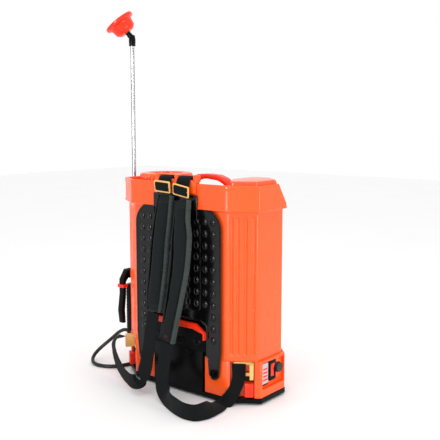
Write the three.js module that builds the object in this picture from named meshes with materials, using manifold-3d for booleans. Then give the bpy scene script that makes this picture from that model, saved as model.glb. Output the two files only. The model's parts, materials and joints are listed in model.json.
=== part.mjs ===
// Battery backpack sprayer: a 20 litre tank on a pump base, with a shoulder harness on its back face,
// a removable battery, and a trigger gun with a steel lance clipped to its left side.
// Millimetres, +Z up. The origin is on the floor under the middle of the tank. The wearer's side faces -Y.
import * as THREE from 'three';
import { mergeVertices } from 'three/addons/utils/BufferGeometryUtils.js';
import Module from 'manifold-3d';

const wasm = await Module();
wasm.setup();

// ---- Driving dimensions ----
const GAP = 0.3;
const WALL = 4;
const RIM_HALF_WIDTH = 200;
const RIM_BACK = -95;
const RIM_FRONT = 95;
const RIM_TOP = 476;
const RIM_BOTTOM = 421;
const BODY_INSET = 9;
const DECK = 446;
const BLOCK_TOP = 484;
const SKIRT_TOP = 97;
const SKIRT_HALF_WIDTH = 198.6;
const SKIRT_BACK = -87.7;
const SKIRT_FRONT = 93.6;
const PLATE_TOP = 15;
const FOOT = 4;

const LID = { x: -112, y: -3, radius: 62.5, bottom: 456, top: 488, neck: 56, bore: 50 };
const BATTERY = { half: 82, front: -92, back: -12, bottom: 15.4, seam: 107, top: 163 };
const LOWER_CASE_HALF = 73;
const BAY = { half: 86, back: -5, top: 172 };
const SKIRT_OPENING_HALF = 77;
const STRAP = { width: 38, thick: 2.4, bar: [-87, 486], barRadius: 3 };
const LANCE = { x: -209, y: -14, radius: 4.75, bottom: 252, top: 792 };
const HOSE_RADIUS = 4.5;
const COIL = { x: -180, y: 190, radius: 50, height: 21 };
const PUMP = { x: -140, z: 50, front: 5 };
const OUTLET = { x: -130, z: 78 };
const SOCKET = { x: 130, z: 42 };
const PANEL = { face: 190, y: [-40, 42], z: [33, 92] };

// ---- Materials ----
const finish = (color, roughness, metalness = 0) =>
  new THREE.MeshStandardMaterial({ color, roughness, metalness });
const orange = finish(0xff6a2e, 0.45);
const redOrange = finish(0xff3c1e, 0.45);
const black = finish(0x161616, 0.55);
const darkGrey = finish(0x2e3132, 0.6);
const tan = finish(0xebbe6e, 0.5);
const fabric = finish(0x24282a, 0.95);
const webbing = finish(0x1b1d1e, 0.9);
const steel = finish(0xb9bcc0, 0.3, 1);
const rubber = finish(0x1a1a1a, 0.8);
const brass = finish(0xc9a24a, 0.35, 1);
const clear = finish(0xc8c0c4, 0.2);
const copper = finish(0x8a5a3a, 0.5, 1);

// ---- Solids: closed meshes that can be joined and cut ----
function solid(geometry) {
  const plain = geometry.clone();
  plain.deleteAttribute('normal');
  plain.deleteAttribute('uv');
  const merged = mergeVertices(plain, 1e-4);
  return new wasm.Manifold(new wasm.Mesh({
    numProp: 3,
    vertProperties: new Float32Array(merged.attributes.position.array),
    triVerts: new Uint32Array(merged.index.array),
  }));
}

function geometryOf(manifold) {
  const mesh = manifold.getMesh();
  const geometry = new THREE.BufferGeometry();
  geometry.setAttribute('position', new THREE.BufferAttribute(new Float32Array(mesh.vertProperties), 3));
  geometry.setIndex(new THREE.BufferAttribute(new Uint32Array(mesh.triVerts), 1));
  return geometry;
}

const join = (first, ...rest) => rest.reduce((sum, next) => sum.add(next), first);
const cut = (first, ...rest) => rest.reduce((sum, next) => sum.subtract(next), first);

const shapeOf = (points) => new THREE.Shape(points.map(([x, y]) => new THREE.Vector2(x, y)));

// An outline drawn in two axes and extruded along the third.
function prism(points, low, high, axis = 'z') {
  const geometry = new THREE.ExtrudeGeometry(shapeOf(points), { depth: high - low, bevelEnabled: false });
  const basis = new THREE.Matrix4();
  if (axis === 'z') basis.makeTranslation(0, 0, low);
  if (axis === 'x') basis.set(0, 0, 1, low, 1, 0, 0, 0, 0, 1, 0, 0, 0, 0, 0, 1);
  if (axis === 'y') basis.set(1, 0, 0, 0, 0, 0, -1, high, 0, 1, 0, 0, 0, 0, 0, 1);
  return solid(geometry.applyMatrix4(basis));
}

function box(x0, x1, y0, y1, z0, z1) {
  const geometry = new THREE.BoxGeometry(x1 - x0, y1 - y0, z1 - z0);
  return solid(geometry.translate((x0 + x1) / 2, (y0 + y1) / 2, (z0 + z1) / 2));
}

// A closed body of revolution about a line: profile rows are [radius, distance along the line].
function turned(profile, start, direction, segments = 24) {
  const geometry = new THREE.LatheGeometry(profile.map(([r, h]) => new THREE.Vector2(r, h)), segments);
  const turn = new THREE.Quaternion().setFromUnitVectors(
    new THREE.Vector3(0, 1, 0),
    new THREE.Vector3(...direction).normalize(),
  );
  return solid(geometry.applyQuaternion(turn).translate(...start));
}

const rod = (radius, length, start, direction, segments = 20) =>
  turned([[0, 0], [radius, 0], [radius, length], [0, length]], start, direction, segments);

// A round tube of solid section along a smooth curve.
function tube(points, radius, steps, sides = 8) {
  const curve = new THREE.CatmullRomCurve3(points.map((p) => new THREE.Vector3(...p)));
  const section = new THREE.Shape(Array.from({ length: sides }, (_, i) => {
    const angle = (2 * Math.PI * i) / sides;
    return new THREE.Vector2(radius * Math.cos(angle), radius * Math.sin(angle));
  }));
  return new THREE.ExtrudeGeometry(section, { steps, extrudePath: curve, bevelEnabled: false });
}

// A flat strap: stations are [x, y, z, across x, across y, across z, width], smoothly joined.
function strap(stations, thickness, steps) {
  const smooth = (pick) => new THREE.CatmullRomCurve3(stations.map((s) => new THREE.Vector3(...pick(s))));
  const centre = smooth((s) => s.slice(0, 3));
  const across = smooth((s) => s.slice(3, 6));
  const width = smooth((s) => [s[6], 0, 0]);
  const positions = [];
  for (let i = 0; i <= steps; i += 1) {
    const t = i / steps;
    const along = centre.getTangent(t);
    const side = across.getPoint(t).addScaledVector(along, -across.getPoint(t).dot(along)).normalize();
    const normal = new THREE.Vector3().crossVectors(along, side);
    const middle = centre.getPoint(t);
    for (const [u, v] of [[-1, -1], [1, -1], [1, 1], [-1, 1]]) {
      const corner = middle.clone().addScaledVector(side, (u * width.getPoint(t).x) / 2);
      positions.push(...corner.addScaledVector(normal, (v * thickness) / 2).toArray());
    }
  }
  const triangles = [0, 2, 1, 0, 3, 2];
  for (let i = 0; i < steps; i += 1) {
    for (let k = 0; k < 4; k += 1) {
      const a = 4 * i + k;
      const b = 4 * i + ((k + 1) % 4);
      triangles.push(a, b, b + 4, a, b + 4, a + 4);
    }
  }
  const last = 4 * steps;
  triangles.push(last, last + 1, last + 2, last, last + 2, last + 3);
  const geometry = new THREE.BufferGeometry();
  geometry.setAttribute('position', new THREE.Float32BufferAttribute(positions, 3));
  geometry.setIndex(triangles);
  return geometry;
}

function rounded(x0, x1, y0, y1, radius, steps = 4) {
  const corners = [[x1 - radius, y0 + radius, -90], [x1 - radius, y1 - radius, 0],
    [x0 + radius, y1 - radius, 90], [x0 + radius, y0 + radius, 180]];
  return corners.flatMap(([x, y, from]) => Array.from({ length: steps + 1 }, (_, i) => {
    const angle = THREE.MathUtils.degToRad(from + (90 * i) / steps);
    return [x + radius * Math.cos(angle), y + radius * Math.sin(angle)];
  }));
}

// ---- Plan outlines, counter-clockwise from above ----
const planOutline = (half, back, front, backFlat, backChamfer, frontFlat, frontChamfer) => [
  [-backFlat, back], [backFlat, back], [half, back + backChamfer], [half, front - frontChamfer],
  [frontFlat, front], [-frontFlat, front], [-half, front - frontChamfer], [-half, back + backChamfer],
];

// Every edge of a convex outline moved inwards by the same distance.
function inset(outline, distance) {
  const count = outline.length;
  const lines = outline.map(([x, y], i) => {
    const [nextX, nextY] = outline[(i + 1) % count];
    const length = Math.hypot(nextX - x, nextY - y);
    const normal = [-(nextY - y) / length, (nextX - x) / length];
    return [...normal, normal[0] * x + normal[1] * y + distance];
  });
  return lines.map(([a, b, c], i) => {
    const [p, q, r] = lines[(i + count - 1) % count];
    const scale = a * q - b * p;
    return [(c * q - b * r) / scale, (a * r - c * p) / scale];
  });
}

const rimPlan = planOutline(RIM_HALF_WIDTH, RIM_BACK, RIM_FRONT, 139, 40, 150, 49);
const bodyPlan = inset(rimPlan, BODY_INSET);
const skirtPlan = planOutline(SKIRT_HALF_WIDTH, SKIRT_BACK, SKIRT_FRONT, 136.6, 42.4, 149, 48);

// Local frame of a back corner facet: along runs from the back face to the side face.
const FACET = { start: [136.6, SKIRT_BACK], along: [0.8255, 0.5645] };
function facetBox(side, s0, s1, d0, d1, z0, z1) {
  const [ux, uy] = FACET.along;
  const place = (s, d) => [
    side * (FACET.start[0] + s * ux - d * uy),
    FACET.start[1] + s * uy + d * ux,
  ];
  const corners = [place(s0, d0), place(s1, d0), place(s1, d1), place(s0, d1)];
  return prism(corners, z0, z1);
}

// ---- Scene graph ----
const group = new THREE.Group();

function add(name, shape, material, parent = group) {
  const mesh = new THREE.Mesh(shape.isBufferGeometry ? shape : geometryOf(shape), material);
  mesh.name = name;
  parent.add(mesh);
  return mesh;
}

// ---- Tank ----
const batteryBay = (grow) => box(
  -BAY.half - grow, BAY.half + grow, -120, BAY.back + grow, -10, BAY.top + grow,
);

// The sloping shoulder that takes off each upper front corner of the tank.
function shoulderCut(side, drop) {
  const level = new THREE.Vector3(-50 * side, 44, 0).normalize();
  const fall = new THREE.Vector3(0, 35, -51);
  const outward = new THREE.Vector3().crossVectors(level, fall).normalize();
  if (outward.z < 0) outward.negate();
  const inPlane = new THREE.Vector3().crossVectors(outward, level);
  const frame = new THREE.Matrix4().makeBasis(level, inPlane, outward);
  const centre = new THREE.Vector3(side * RIM_HALF_WIDTH, 13, RIM_TOP).addScaledVector(outward, 60 - drop);
  return solid(new THREE.BoxGeometry(400, 300, 120).applyMatrix4(frame).translate(...centre.toArray()));
}

function cornerFlutes() {
  const grooves = [];
  const facetStart = [135.5, RIM_BACK + BODY_INSET];
  const along = [0.836, 0.549];
  for (const side of [-1, 1]) {
    for (const s of [11, 24, 41, 58]) {
      const x = side * (facetStart[0] + s * along[0] + 1.2 * along[1]);
      const y = facetStart[1] + s * along[1] - 1.2 * along[0];
      grooves.push(rod(4, 300, [x, y, 110], [0, 0, 1], 8));
    }
  }
  return grooves;
}

// The raised block beside the carry handle, with its corner nearest the straps cut away.
const blockPlan = [[98, -20], [142, -84], [220, -84], [220, 60], [98, 60]];

function tankShell() {
  const neck = rod(LID.neck, 26, [LID.x, LID.y, DECK], [0, 0, 1], 40);
  const block = prism(inset(rimPlan, 14), DECK - 1, BLOCK_TOP).intersect(prism(blockPlan, 400, 500));
  const outer = join(
    cut(
      join(prism(bodyPlan, SKIRT_TOP + GAP, RIM_BOTTOM + 5), prism(rimPlan, RIM_BOTTOM, RIM_TOP)),
      prism(inset(rimPlan, 8), DECK, 500),
    ),
    neck,
    block,
  );
  const inner = join(
    prism(inset(bodyPlan, WALL), SKIRT_TOP + 6, DECK - WALL),
    prism(inset(rimPlan, 14 + WALL), DECK - 6, BLOCK_TOP - WALL)
      .intersect(prism(inset(blockPlan, WALL), 400, 500)),
  );
  return cut(
    outer,
    cut(inner, batteryBay(WALL), shoulderCut(1, 6), shoulderCut(-1, 6)),
    batteryBay(0),
    shoulderCut(1, 0),
    shoulderCut(-1, 0),
    box(-98, 96, 60, 120, DECK, 500),
    rod(LID.bore, 60, [LID.x, LID.y, DECK - 20], [0, 0, 1], 40),
    ...cornerFlutes(),
  );
}

add('tank_shell', tankShell(), orange);

// ---- Filler: screw lid on its seal, with the strainer hanging in the neck ----
const filler = new THREE.Group();
filler.position.set(LID.x, LID.y, 0);
group.add(filler);
const up = [0, 0, 1];
add('lid', turned([
  [0, LID.top - 9], [LID.neck + 2.5, LID.top - 9], [LID.neck + 2.5, LID.bottom],
  [LID.radius, LID.bottom], [LID.radius, LID.top - 4], [58, LID.top], [0, LID.top],
], [0, 0, 0], up, 40), orange, filler);
add('lid_gasket', turned([
  [50, 475.4], [56, 475.4], [56, 478.6], [50, 478.6], [50, 475.4],
], [0, 0, 0], up, 32), rubber, filler);
add('lid_vent', turned([
  [0, LID.top + GAP], [9, LID.top + GAP], [8, LID.top + 3], [0, LID.top + 3.4],
], [0, 0, 0], up, 16), orange, filler);
const basket = turned([
  [0, 405], [48, 405], [49, 472.3], [55, 472.3], [55, 475], [47, 475], [46, 407], [0, 407],
], [0, 0, 0], up, 32);
const windows = [0, 1, 2, 3].map((i) => {
  const angle = (Math.PI / 4) * i + Math.PI / 8;
  const slot = new THREE.BoxGeometry(120, 22, 44).rotateZ(angle).translate(0, 0, 440);
  return solid(slot);
});
add('strainer_basket', cut(basket, ...windows), black, filler);

// ---- Carry handle across the valley between the filler and the block ----
const handleArch = [
  [-44, DECK + GAP], [-44, 462], [-38, 474], [-26, 483], [-8, 489], [20, 491], [48, 489], [66, 483],
  [80, 474], [88, 462], [88, DECK + GAP], [76, DECK + GAP], [76, 461], [66, 470], [50, 477], [20, 480],
  [-8, 477], [-24, 470], [-33, 459], [-33, DECK + GAP],
];
add('carry_handle', prism(handleArch, -13, 13, 'y'), redOrange);

// ---- Strap anchorage on the back wall of the collar ----
function strapBracket() {
  const saddle = cut(
    box(-58, 60, -98.3, -83.7, 455, 480),
    box(-60, 62, RIM_BACK - GAP, RIM_BACK + 8 + GAP, 450, RIM_TOP + GAP),
  );
  const ears = [[-57, -49], [-3, 5], [51, 59]].map(([a, b]) => box(a, b, -95, -79, 479, 493));
  const [barY, barZ] = STRAP.bar;
  return cut(join(saddle, ...ears), rod(STRAP.barRadius + GAP, 112, [-55, barY, barZ], [1, 0, 0], 16));
}
add('strap_bracket', strapBracket(), orange);
add('strap_bar', rod(STRAP.barRadius, 111.4, [-54.7, ...STRAP.bar], [1, 0, 0], 16), steel);

// Each strap starts as a loop of webbing over the bar and comes down over the edge of the collar.
function upperWebbing(x) {
  const [barY, barZ] = STRAP.bar;
  const reach = STRAP.barRadius + 0.5 + STRAP.thick / 2;
  const around = [-30, 0, 45, 90, 125].map((degrees) => {
    const angle = THREE.MathUtils.degToRad(degrees);
    return [x, barY + reach * Math.cos(angle), barZ + reach * Math.sin(angle), 1, 0, 0, STRAP.width];
  });
  const down = [[-96.5, 487.3], [-101.5, 481], [-104.5, 470], [-105.8, 452.6]];
  return strap([...around, ...down.map(([y, z]) => [x, y, z, 1, 0, 0, STRAP.width])], STRAP.thick, 24);
}

function triglide(x, z) {
  const windowsOf = (z0, z1) => box(x - 19.5, x + 19.5, -120, -100, z0, z1);
  return cut(
    prism(rounded(x - 23, x + 23, z - 13, z + 13, 3), -111.5, -108.4, 'y'),
    windowsOf(z - 9.8, z - 1.6),
    windowsOf(z + 1.6, z + 9.8),
  );
}

// The padded part of each strap, and the slack webbing from its end to the hook at the base. The webbing
// keeps its full width except where a station ends in a narrower one.
const pads = {
  left: [[-16, -107, 450, 40], [-16, -118, 400, 48], [-17, -128, 340, 51], [-18, -133, 290, 51],
    [-21, -139, 232, 49], [-23, -142, 192, 42]],
  right: [[33, -107.5, 442, 40], [38, -118, 398, 42], [44, -126, 358, 52], [44, -133, 297, 50],
    [37, -139, 238, 46], [27, -144, 176, 41], [19, -147, 132, 40]],
};
const slack = {
  left: [[-24, -144, 189.6, 1, 0, 0], [-28, -149, 150, 1, 0, 0], [-32, -153, 105, 1, 0, 0],
    [-39, -157, 62, 0.9, 0.1, 0.2], [-54, -159, 33, 0.7, -0.1, 0.7], [-82, -155, 22, 0.3, -0.2, 0.93],
    [-112, -145, 24, 0.2, -0.2, 0.95], [-142, -132, 31, 0.35, -0.2, 0.9],
    [-172, -118, 44, 0.6, -0.3, 0.7], [-197, -103, 64, 0.7, -0.4, 0.5], [-208, -88, 80, 0.8, -0.4, 0.3],
    [-203, -69, 88, 0.8, -0.55, 0]],
  right: [[18, -148, 129.6, 1, 0, 0], [15, -151, 95, 1, 0, 0], [13, -156, 60, 1, 0, 0.1],
    [18, -163, 36, 0.8, 0.2, 0.5], [34, -170, 22, 0.4, 0.3, 0.85], [60, -186, 19, 0.1, 0.1, 1],
    [88, -198, 19, 0, 0.1, 1], [120, -206, 19, 0, 0, 1], [144, -201, 19, 0, 0, 1],
    [153, -178, 19, -0.3, 0, 0.9], [148, -150, 15, -0.7, 0, 0.6], [140, -121, 8, -1, 0, 0.25],
    [134, -103, 6, -1, 0, 0.1, 34], [143, -93, 12, -0.93, -0.4, 0.1, 32],
    [150, -86, 24, -0.83, -0.56, 0, 30], [154.5, -78.8, 38, -0.83, -0.56, 0, 27],
    [158, -72.4, 58, -0.83, -0.56, 0, 28], [158.3, -71.6, 92, -0.83, -0.56, 0, 30]],
};
const strapSides = [['left', -25, 466.5], ['right', 29, 460.5]];
for (const [side, x, triglideZ] of strapSides) {
  add(`${side}_upper_webbing`, upperWebbing(x), webbing);
  add(`${side}_triglide`, triglide(x, triglideZ), tan);
  add(
    `${side}_shoulder_pad`,
    strap(pads[side].map(([px, py, pz, width]) => [px, py, pz, 1, 0, 0, width]), 14, 14),
    fabric,
  );
  add(
    `${side}_lower_webbing`,
    strap(slack[side].map((station) => [...station, STRAP.width - 2].slice(0, 7)), STRAP.thick, 44),
    webbing,
  );
}

// ---- Back pad ----
function backPad() {
  const outline = [[-121, 120], [-116, 62], [-104, 50], [-97, 62], [-94, 92], [-89, 100], [-89, 168],
    [-70, 178], [70, 178], [89, 168], [89, 100], [94, 92], [97, 62], [104, 50], [116, 62], [121, 120],
    [121, 375], [112, 400], [90, 416], [64, 420], [-64, 420], [-90, 416], [-112, 400], [-121, 375]];
  return join(
    prism(outline, -92.5, -88, 'y'),
    box(-64, 64, -98.6, -90, 396, 420.4),
    box(-64, 64, -98.6, RIM_BACK - GAP, 396, 451),
  );
}
add('back_pad', backPad(), black);

// ---- Battery: a two-part case with a bail handle, sliding out of its bay towards the wearer ----
const battery = new THREE.Group();
group.add(battery);
function batteryCase(half, z0, z1, openTop) {
  const { front, back } = BATTERY;
  const [low, high] = openTop ? [z0 + 3, z1 + 1] : [z0 - 1, z1 - 3];
  return cut(box(-half, half, front, back, z0, z1), box(-half + 3, half - 3, front + 3, back - 3, low, high));
}
const pivot = { x: BATTERY.half, y: BATTERY.front + 8, z: 141 };
const pivotBore = () => rod(3.3, 2 * pivot.x + 20, [-pivot.x - 10, pivot.y, pivot.z], [1, 0, 0], 12);
add('battery_case_lower', batteryCase(LOWER_CASE_HALF, BATTERY.bottom, BATTERY.seam, true), black, battery);
add('battery_case_upper', cut(
  batteryCase(BATTERY.half, BATTERY.seam + GAP, BATTERY.top, false),
  pivotBore(),
), black, battery);
add('battery_block', join(
  box(-68, 68, -84, -20, BATTERY.bottom + 3.4, 112),
  box(-66, -58, -60, -54, 111, 118),
  box(58, 66, -60, -54, 111, 118),
), darkGrey, battery);

function bail() {
  const outline = [[-85.5, 136], [-82.4, 136], [-82.4, 150], [-54, 157], [54, 157], [82.4, 150], [82.4, 136],
    [85.5, 136], [85.5, 152], [58, 169], [-58, 169], [-85.5, 152]];
  const front = BATTERY.front - 10.5;
  const cheek = (x) => box(x, x + 3.1, front, pivot.y + 5, 136, 146);
  const pin = (x) => rod(2.9, 5.5, [x, pivot.y, pivot.z], [1, 0, 0], 12);
  return join(
    prism(outline, front, BATTERY.front - 0.6, 'y'),
    cheek(-85.5),
    cheek(82.4),
    pin(-83),
    pin(77.5),
  );
}
add('battery_handle', bail(), redOrange, battery);
add('contact_block', box(-20, 20, -11.5, 8, 40, 70), black);
add('battery_lead', tube([[20.4, 0, 55], [60, 6, 55], [92, 20, 50], [150, 20, 48], [172, -24, 60],
  [183.5, -27, 66]], 2.5, 24), rubber);

// ---- Base: skirt around the pump bay, closed below by the base plate ----
function baseSkirt() {
  const pocket = (side, grow) => facetBox(side, 8 - grow, 61 + grow, -5, 12 + grow, 0, 120);
  const [y0, y1] = PANEL.y;
  const [z0, z1] = PANEL.z;
  const panelRecess = box(PANEL.face, 220, y0, y1, z0, z1);
  const cavity = cut(
    prism(inset(skirtPlan, WALL), 0, 120),
    pocket(1, WALL),
    pocket(-1, WALL),
    box(PANEL.face - WALL, 220, y0 - WALL, y1 + WALL, z0 - WALL, 120),
  );
  return cut(
    prism(skirtPlan, PLATE_TOP + GAP, SKIRT_TOP),
    cavity,
    pocket(1, 0),
    pocket(-1, 0),
    panelRecess,
    box(-SKIRT_OPENING_HALF, SKIRT_OPENING_HALF, -120, -60, 0, 120),
    box(180, 200, -7, 9, 51, 86),
    rod(3.5, 20, [180, 25, 68], [1, 0, 0], 12),
    rod(8.4, 20, [OUTLET.x, 84, OUTLET.z], [0, 1, 0], 20),
    rod(8.4, 20, [SOCKET.x, 84, SOCKET.z], [0, 1, 0], 20),
  );
}
add('base_skirt', baseSkirt(), orange);

function basePlate() {
  const feet = [[-165, -30], [165, -30], [-120, 70], [120, 70], [-118, -70], [118, -70]];
  return join(
    prism(inset(skirtPlan, -1.2), FOOT, PLATE_TOP),
    box(-45, 45, -25, 25, 0, FOOT + 1),
    ...feet.map(([x, y]) => rod(14, FOOT + 1, [x, y, 0], up, 16)),
  );
}
add('base_plate', basePlate(), black);

for (const [side, sign] of [['left', -1], ['right', 1]]) {
  const ring = cut(facetBox(sign, 16, 59, 3.5, 6.5, 64, 95), facetBox(sign, 20, 50, 0, 10, 71, 89));
  add(`${side}_strap_hook`, join(ring, facetBox(sign, 51, 59, -16, 11.7, 62, 94)), tan);
  add(`${side}_hook_peg`, facetBox(sign, 40, 59, -8, 11.7, 20, 51), orange);
}

// ---- Controls on the right side ----
const [panelY0, panelY1] = PANEL.y;
const [panelZ0, panelZ1] = PANEL.z;
add('control_panel', cut(
  join(
    box(PANEL.face + GAP, 193, panelY0 + 0.5, panelY1 - 0.5, panelZ0 + 0.5, panelZ1 - 0.5),
    box(192.5, 196.5, -11, 12, 46, 90),
  ),
  box(180, 200, -6.4, 8.4, 52, 85),
  rod(3.5, 20, [185, 25, 68], [1, 0, 0], 12),
), orange);
add('display_window', prism(rounded(-37, -15, 43, 89, 2, 2), 193.3, 196, 'x'), clear);
const rocker = [[189.5, 57], [196.5, 53.5], [195, 68.5], [198.6, 83.5], [189.5, 80]];
add('rocker_switch', prism(rocker, -5.6, 7.6, 'y'), redOrange);
add('speed_knob', join(
  turned([[0, 0], [12, 0], [12, 1.5], [10.5, 6.5], [0, 6.5]], [193.4, 25, 68], [1, 0, 0], 24),
  rod(3, 10, [184, 25, 68], [1, 0, 0], 12),
  box(193.4, 200.4, 23.8, 26.2, 70, 78.5),
), darkGrey);
add('charging_socket', cut(
  rod(8, 12, [SOCKET.x, 84, SOCKET.z], [0, 1, 0], 20),
  rod(5, 9, [SOCKET.x, 90, SOCKET.z], [0, 1, 0], 16),
), black);
add('socket_cap', join(
  rod(11, 3, [SOCKET.x, 96.4, SOCKET.z], [0, 1, 0], 20),
  box(SOCKET.x - 4, SOCKET.x + 4, 96.4, 99.4, SOCKET.z + 8, SOCKET.z + 15),
), rubber);

// ---- Pump bay ----
const { x: pumpX, z: pumpZ, front: pumpFront } = PUMP;
const pumpSquare = (half, y0, y1) => prism(
  rounded(pumpX - half, pumpX + half, pumpZ - half, pumpZ + half, 6, 3), pumpFront + y0, pumpFront + y1, 'y',
);
add('pump_head', cut(
  join(pumpSquare(25, -37, 0), pumpSquare(20, -47, -36)),
  rod(3.6, 14, [pumpX, pumpFront - 12, pumpZ], [0, 1, 0], 12),
), black);
add('motor_can', turned([
  [0, 57], [22, 57], [22, 0], [24, 0], [24, 60], [0, 60],
], [pumpX, pumpFront + 0.5, pumpZ], [0, 1, 0], 28), steel);
add('motor_rotor', turned([
  [0, 0], [3, 0], [3, 14], [19, 14], [19, 52], [0, 52],
], [pumpX, pumpFront - 8, pumpZ], [0, 1, 0], 20), copper);
add('tank_outlet', rod(9, 12, [-102, 45, 84.8], up, 20), black);
add('suction_hose', tube([[-102, 45, 84.2], [-102, 44.6, 76], [-102, 40, 64], [-101, 30, 54], [-101, 8, 50],
  [-105.5, -12.5, 50], [-113, -14, 50]], 5, 20), rubber);
add('delivery_hose', tube([[-167, -14, 50], [-174, -12, 52], [-179, 2, 64], [-175, 22, 79],
  [-160, 42, 81.5], [-138, 60, 80], [-130.4, 72, 78.3], [OUTLET.x, 78.8, OUTLET.z]], 5, 26), rubber);
add('outlet_fitting', cut(
  join(
    rod(8, 28, [OUTLET.x, 79.8, OUTLET.z], [0, 1, 0], 20),
    prism(
      rounded(OUTLET.x - 11, OUTLET.x + 11, OUTLET.z - 11, OUTLET.z + 11, 5, 3),
      SKIRT_FRONT + GAP, SKIRT_FRONT + 7, 'y',
    ),
  ),
  rod(3, 40, [OUTLET.x, 90, OUTLET.z], [0, 1, 0], 10),
), black);

// ---- Gun and lance on the left side ----
const { x: gunX, y: gunY } = LANCE;
function gunBody() {
  const grip = prism(rounded(gunX - 10, gunX + 10, -40, -12, 5), 80, 210);
  const head = rod(12, 58, [gunX, gunY, 204], up);
  const ears = join(
    box(gunX - 10, gunX - 7.6, -46, -22, 228, 248),
    box(gunX + 7.6, gunX + 10, -46, -22, 228, 248),
  );
  return cut(
    join(grip, head, ears),
    rod(LANCE.radius + GAP, 30, [gunX, gunY, 250], up),
    box(gunX - 7.6, gunX + 7.6, -60, -30, 218, 262),
    rod(2.8, 40, [gunX - 20, -38, 238], [1, 0, 0], 12),
  );
}
add('gun_body', gunBody(), black);
const leverSide = [[-34, 246], [-48, 249], [-64, 226], [-64, 190], [-70, 150], [-66, 118], [-57, 118],
  [-59, 150], [-54, 190], [-54, 219], [-43, 231], [-34, 232]];
add('gun_lever', cut(
  prism(leverSide, gunX - 7, gunX + 7, 'x'),
  rod(2.8, 40, [gunX - 20, -38, 238], [1, 0, 0], 12),
), black);
add('lever_pin', rod(2.5, 21, [gunX - 10.5, -38, 238], [1, 0, 0], 12), steel);
add('lever_lock', cut(
  prism(rounded(gunX - 10.5, gunX + 10.5, -67.5, -50.5, 2, 2), 206, 214),
  box(gunX - 7.5, gunX + 7.5, -64.5, -53.5, 200, 220),
), redOrange);
add('hose_nut', rod(7, 7, [gunX - 10 - GAP, -28, 88], [-1, 0, 0], 16), black);
add('lance_nut', turned([
  [5.1, 0], [9, 0], [9, 14], [7, 19], [5.1, 19], [5.1, 0],
], [gunX, gunY, 262.3], up, 12), black);
add('lance_tube', turned([
  [3.9, 0], [4.75, 0], [4.75, LANCE.top - LANCE.bottom], [3.9, LANCE.top - LANCE.bottom], [3.9, 0],
], [gunX, gunY, LANCE.bottom], up, 16), steel);

function lanceClip(wallX, z) {
  return cut(
    box(gunX - 8, wallX - GAP, gunY - 8, gunY + 8, z, z + 14),
    rod(LANCE.radius + GAP, 20, [gunX, gunY, z - 3], up, 16),
    box(gunX - 10, gunX, gunY - 3.6, gunY + 3.6, z - 1, z + 15),
  );
}
add('lance_clip_lower', lanceClip(-RIM_HALF_WIDTH + BODY_INSET, 300), black);
add('lance_clip_upper', lanceClip(-RIM_HALF_WIDTH, 436), black);

// The nozzle cup faces up and away from the tank's left back corner.
const nozzle = new THREE.Group();
const nozzleAxis = new THREE.Vector3(-0.482, -0.388, 0.786).normalize();
nozzle.position.set(gunX - 1.2, gunY - 1, 806);
nozzle.quaternion.setFromUnitVectors(new THREE.Vector3(0, 0, 1), nozzleAxis);
group.add(nozzle);
function lanceElbow() {
  const start = nozzle.position.toArray();
  const collar = turned([[0, 0], [8, 0], [8, 18], [7, 24], [0, 26]], [gunX, gunY, 786], up, 20);
  return cut(
    join(collar, rod(6.5, 14, start, nozzleAxis.toArray(), 20)),
    rod(LANCE.radius + GAP, 10, [gunX, gunY, 782.5], up),
  );
}
add('lance_elbow', lanceElbow(), black);
add('nozzle_cup', turned([
  [5.5, 15], [18, 15], [25.5, 21], [28.5, 38], [36.5, 41], [37, 49], [35, 49], [34.5, 43], [26.5, 40],
  [23.5, 23], [17, 18], [5.5, 18], [5.5, 15],
], [0, 0, 0], up, 32), redOrange, nozzle);
add('nozzle_tip', cut(
  turned([[0, 14.3], [5, 14.3], [5, 18.3], [9, 18.3], [9, 22], [4, 26], [0, 26]], [0, 0, 0], up, 16),
  rod(1, 6, [0, 0, 21], up, 8),
), brass, nozzle);

// ---- Spray hose: from the gun to the floor, round the base to a coil, and in at the outlet ----
const hoseRun = [
  [-226.8, -28, 88], [-234, -28, 87.6], [-245.4, -27.8, 84.1], [-262, -27.4, 74.3], [-276.8, -28.3, 62],
  [-290.9, -32.1, 49.4], [-303, -40.1, 36.8], [-310.3, -53.1, 24.8], [-308.9, -69, 14.3],
  [-297.5, -82.7, 7.6], [-279.9, -89.7, 4.9], [-260.7, -89.5, 4.6], [-242.8, -82.7, 4.6],
  [-228.4, -70, 4.6], [-218.7, -53.3, 4.6], [-213.9, -34.7, 4.6],
  [-212.3, -15.4, 4.6], [-212, 3.9, 4.6], [-212, 23.2, 4.6], [-212, 42.5, 4.6], [-212.7, 61.8, 4.6],
  [-214.5, 81, 4.6], [-218.2, 99.9, 4.6], [-223, 118.6, 4.6], [-227.6, 137.4, 4.6], [-230, 156.5, 4.6],
];
const hoseLead = [
  [-155, 233.3, 25.9], [-146.2, 227, 26.2], [-138.7, 219.2, 26.5], [-133.5, 209.8, 26.9],
  [-130.9, 199.3, 27.4], [-130.1, 188.6, 28.8], [-130, 178.3, 32.1], [-130, 168.9, 37.4], [-130, 161, 44.8],
  [-130, 154.2, 53.2], [-130, 147.2, 61.5], [-130, 139.2, 68.8], [-130, 129.8, 74.1], [-130, 119.4, 76.9],
  [OUTLET.x, 108.6, OUTLET.z],
];
add('hose_run', tube(hoseRun, HOSE_RADIUS, 76, 8), rubber);
add('hose_coil', turned([
  [COIL.radius - 5, 0], [COIL.radius + 5, 0], [COIL.radius + 5, COIL.height], [COIL.radius - 5, COIL.height],
  [COIL.radius - 5, 0],
], [COIL.x, COIL.y, 0.05], up, 32), rubber);
add('hose_lead', tube(hoseLead, HOSE_RADIUS, 28, 8), rubber);

export default group;
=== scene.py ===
import json
import math
from contextlib import contextmanager

import bmesh
import bpy
from mathutils import Matrix, Vector
from mathutils.bvhtree import BVHTree

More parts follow.
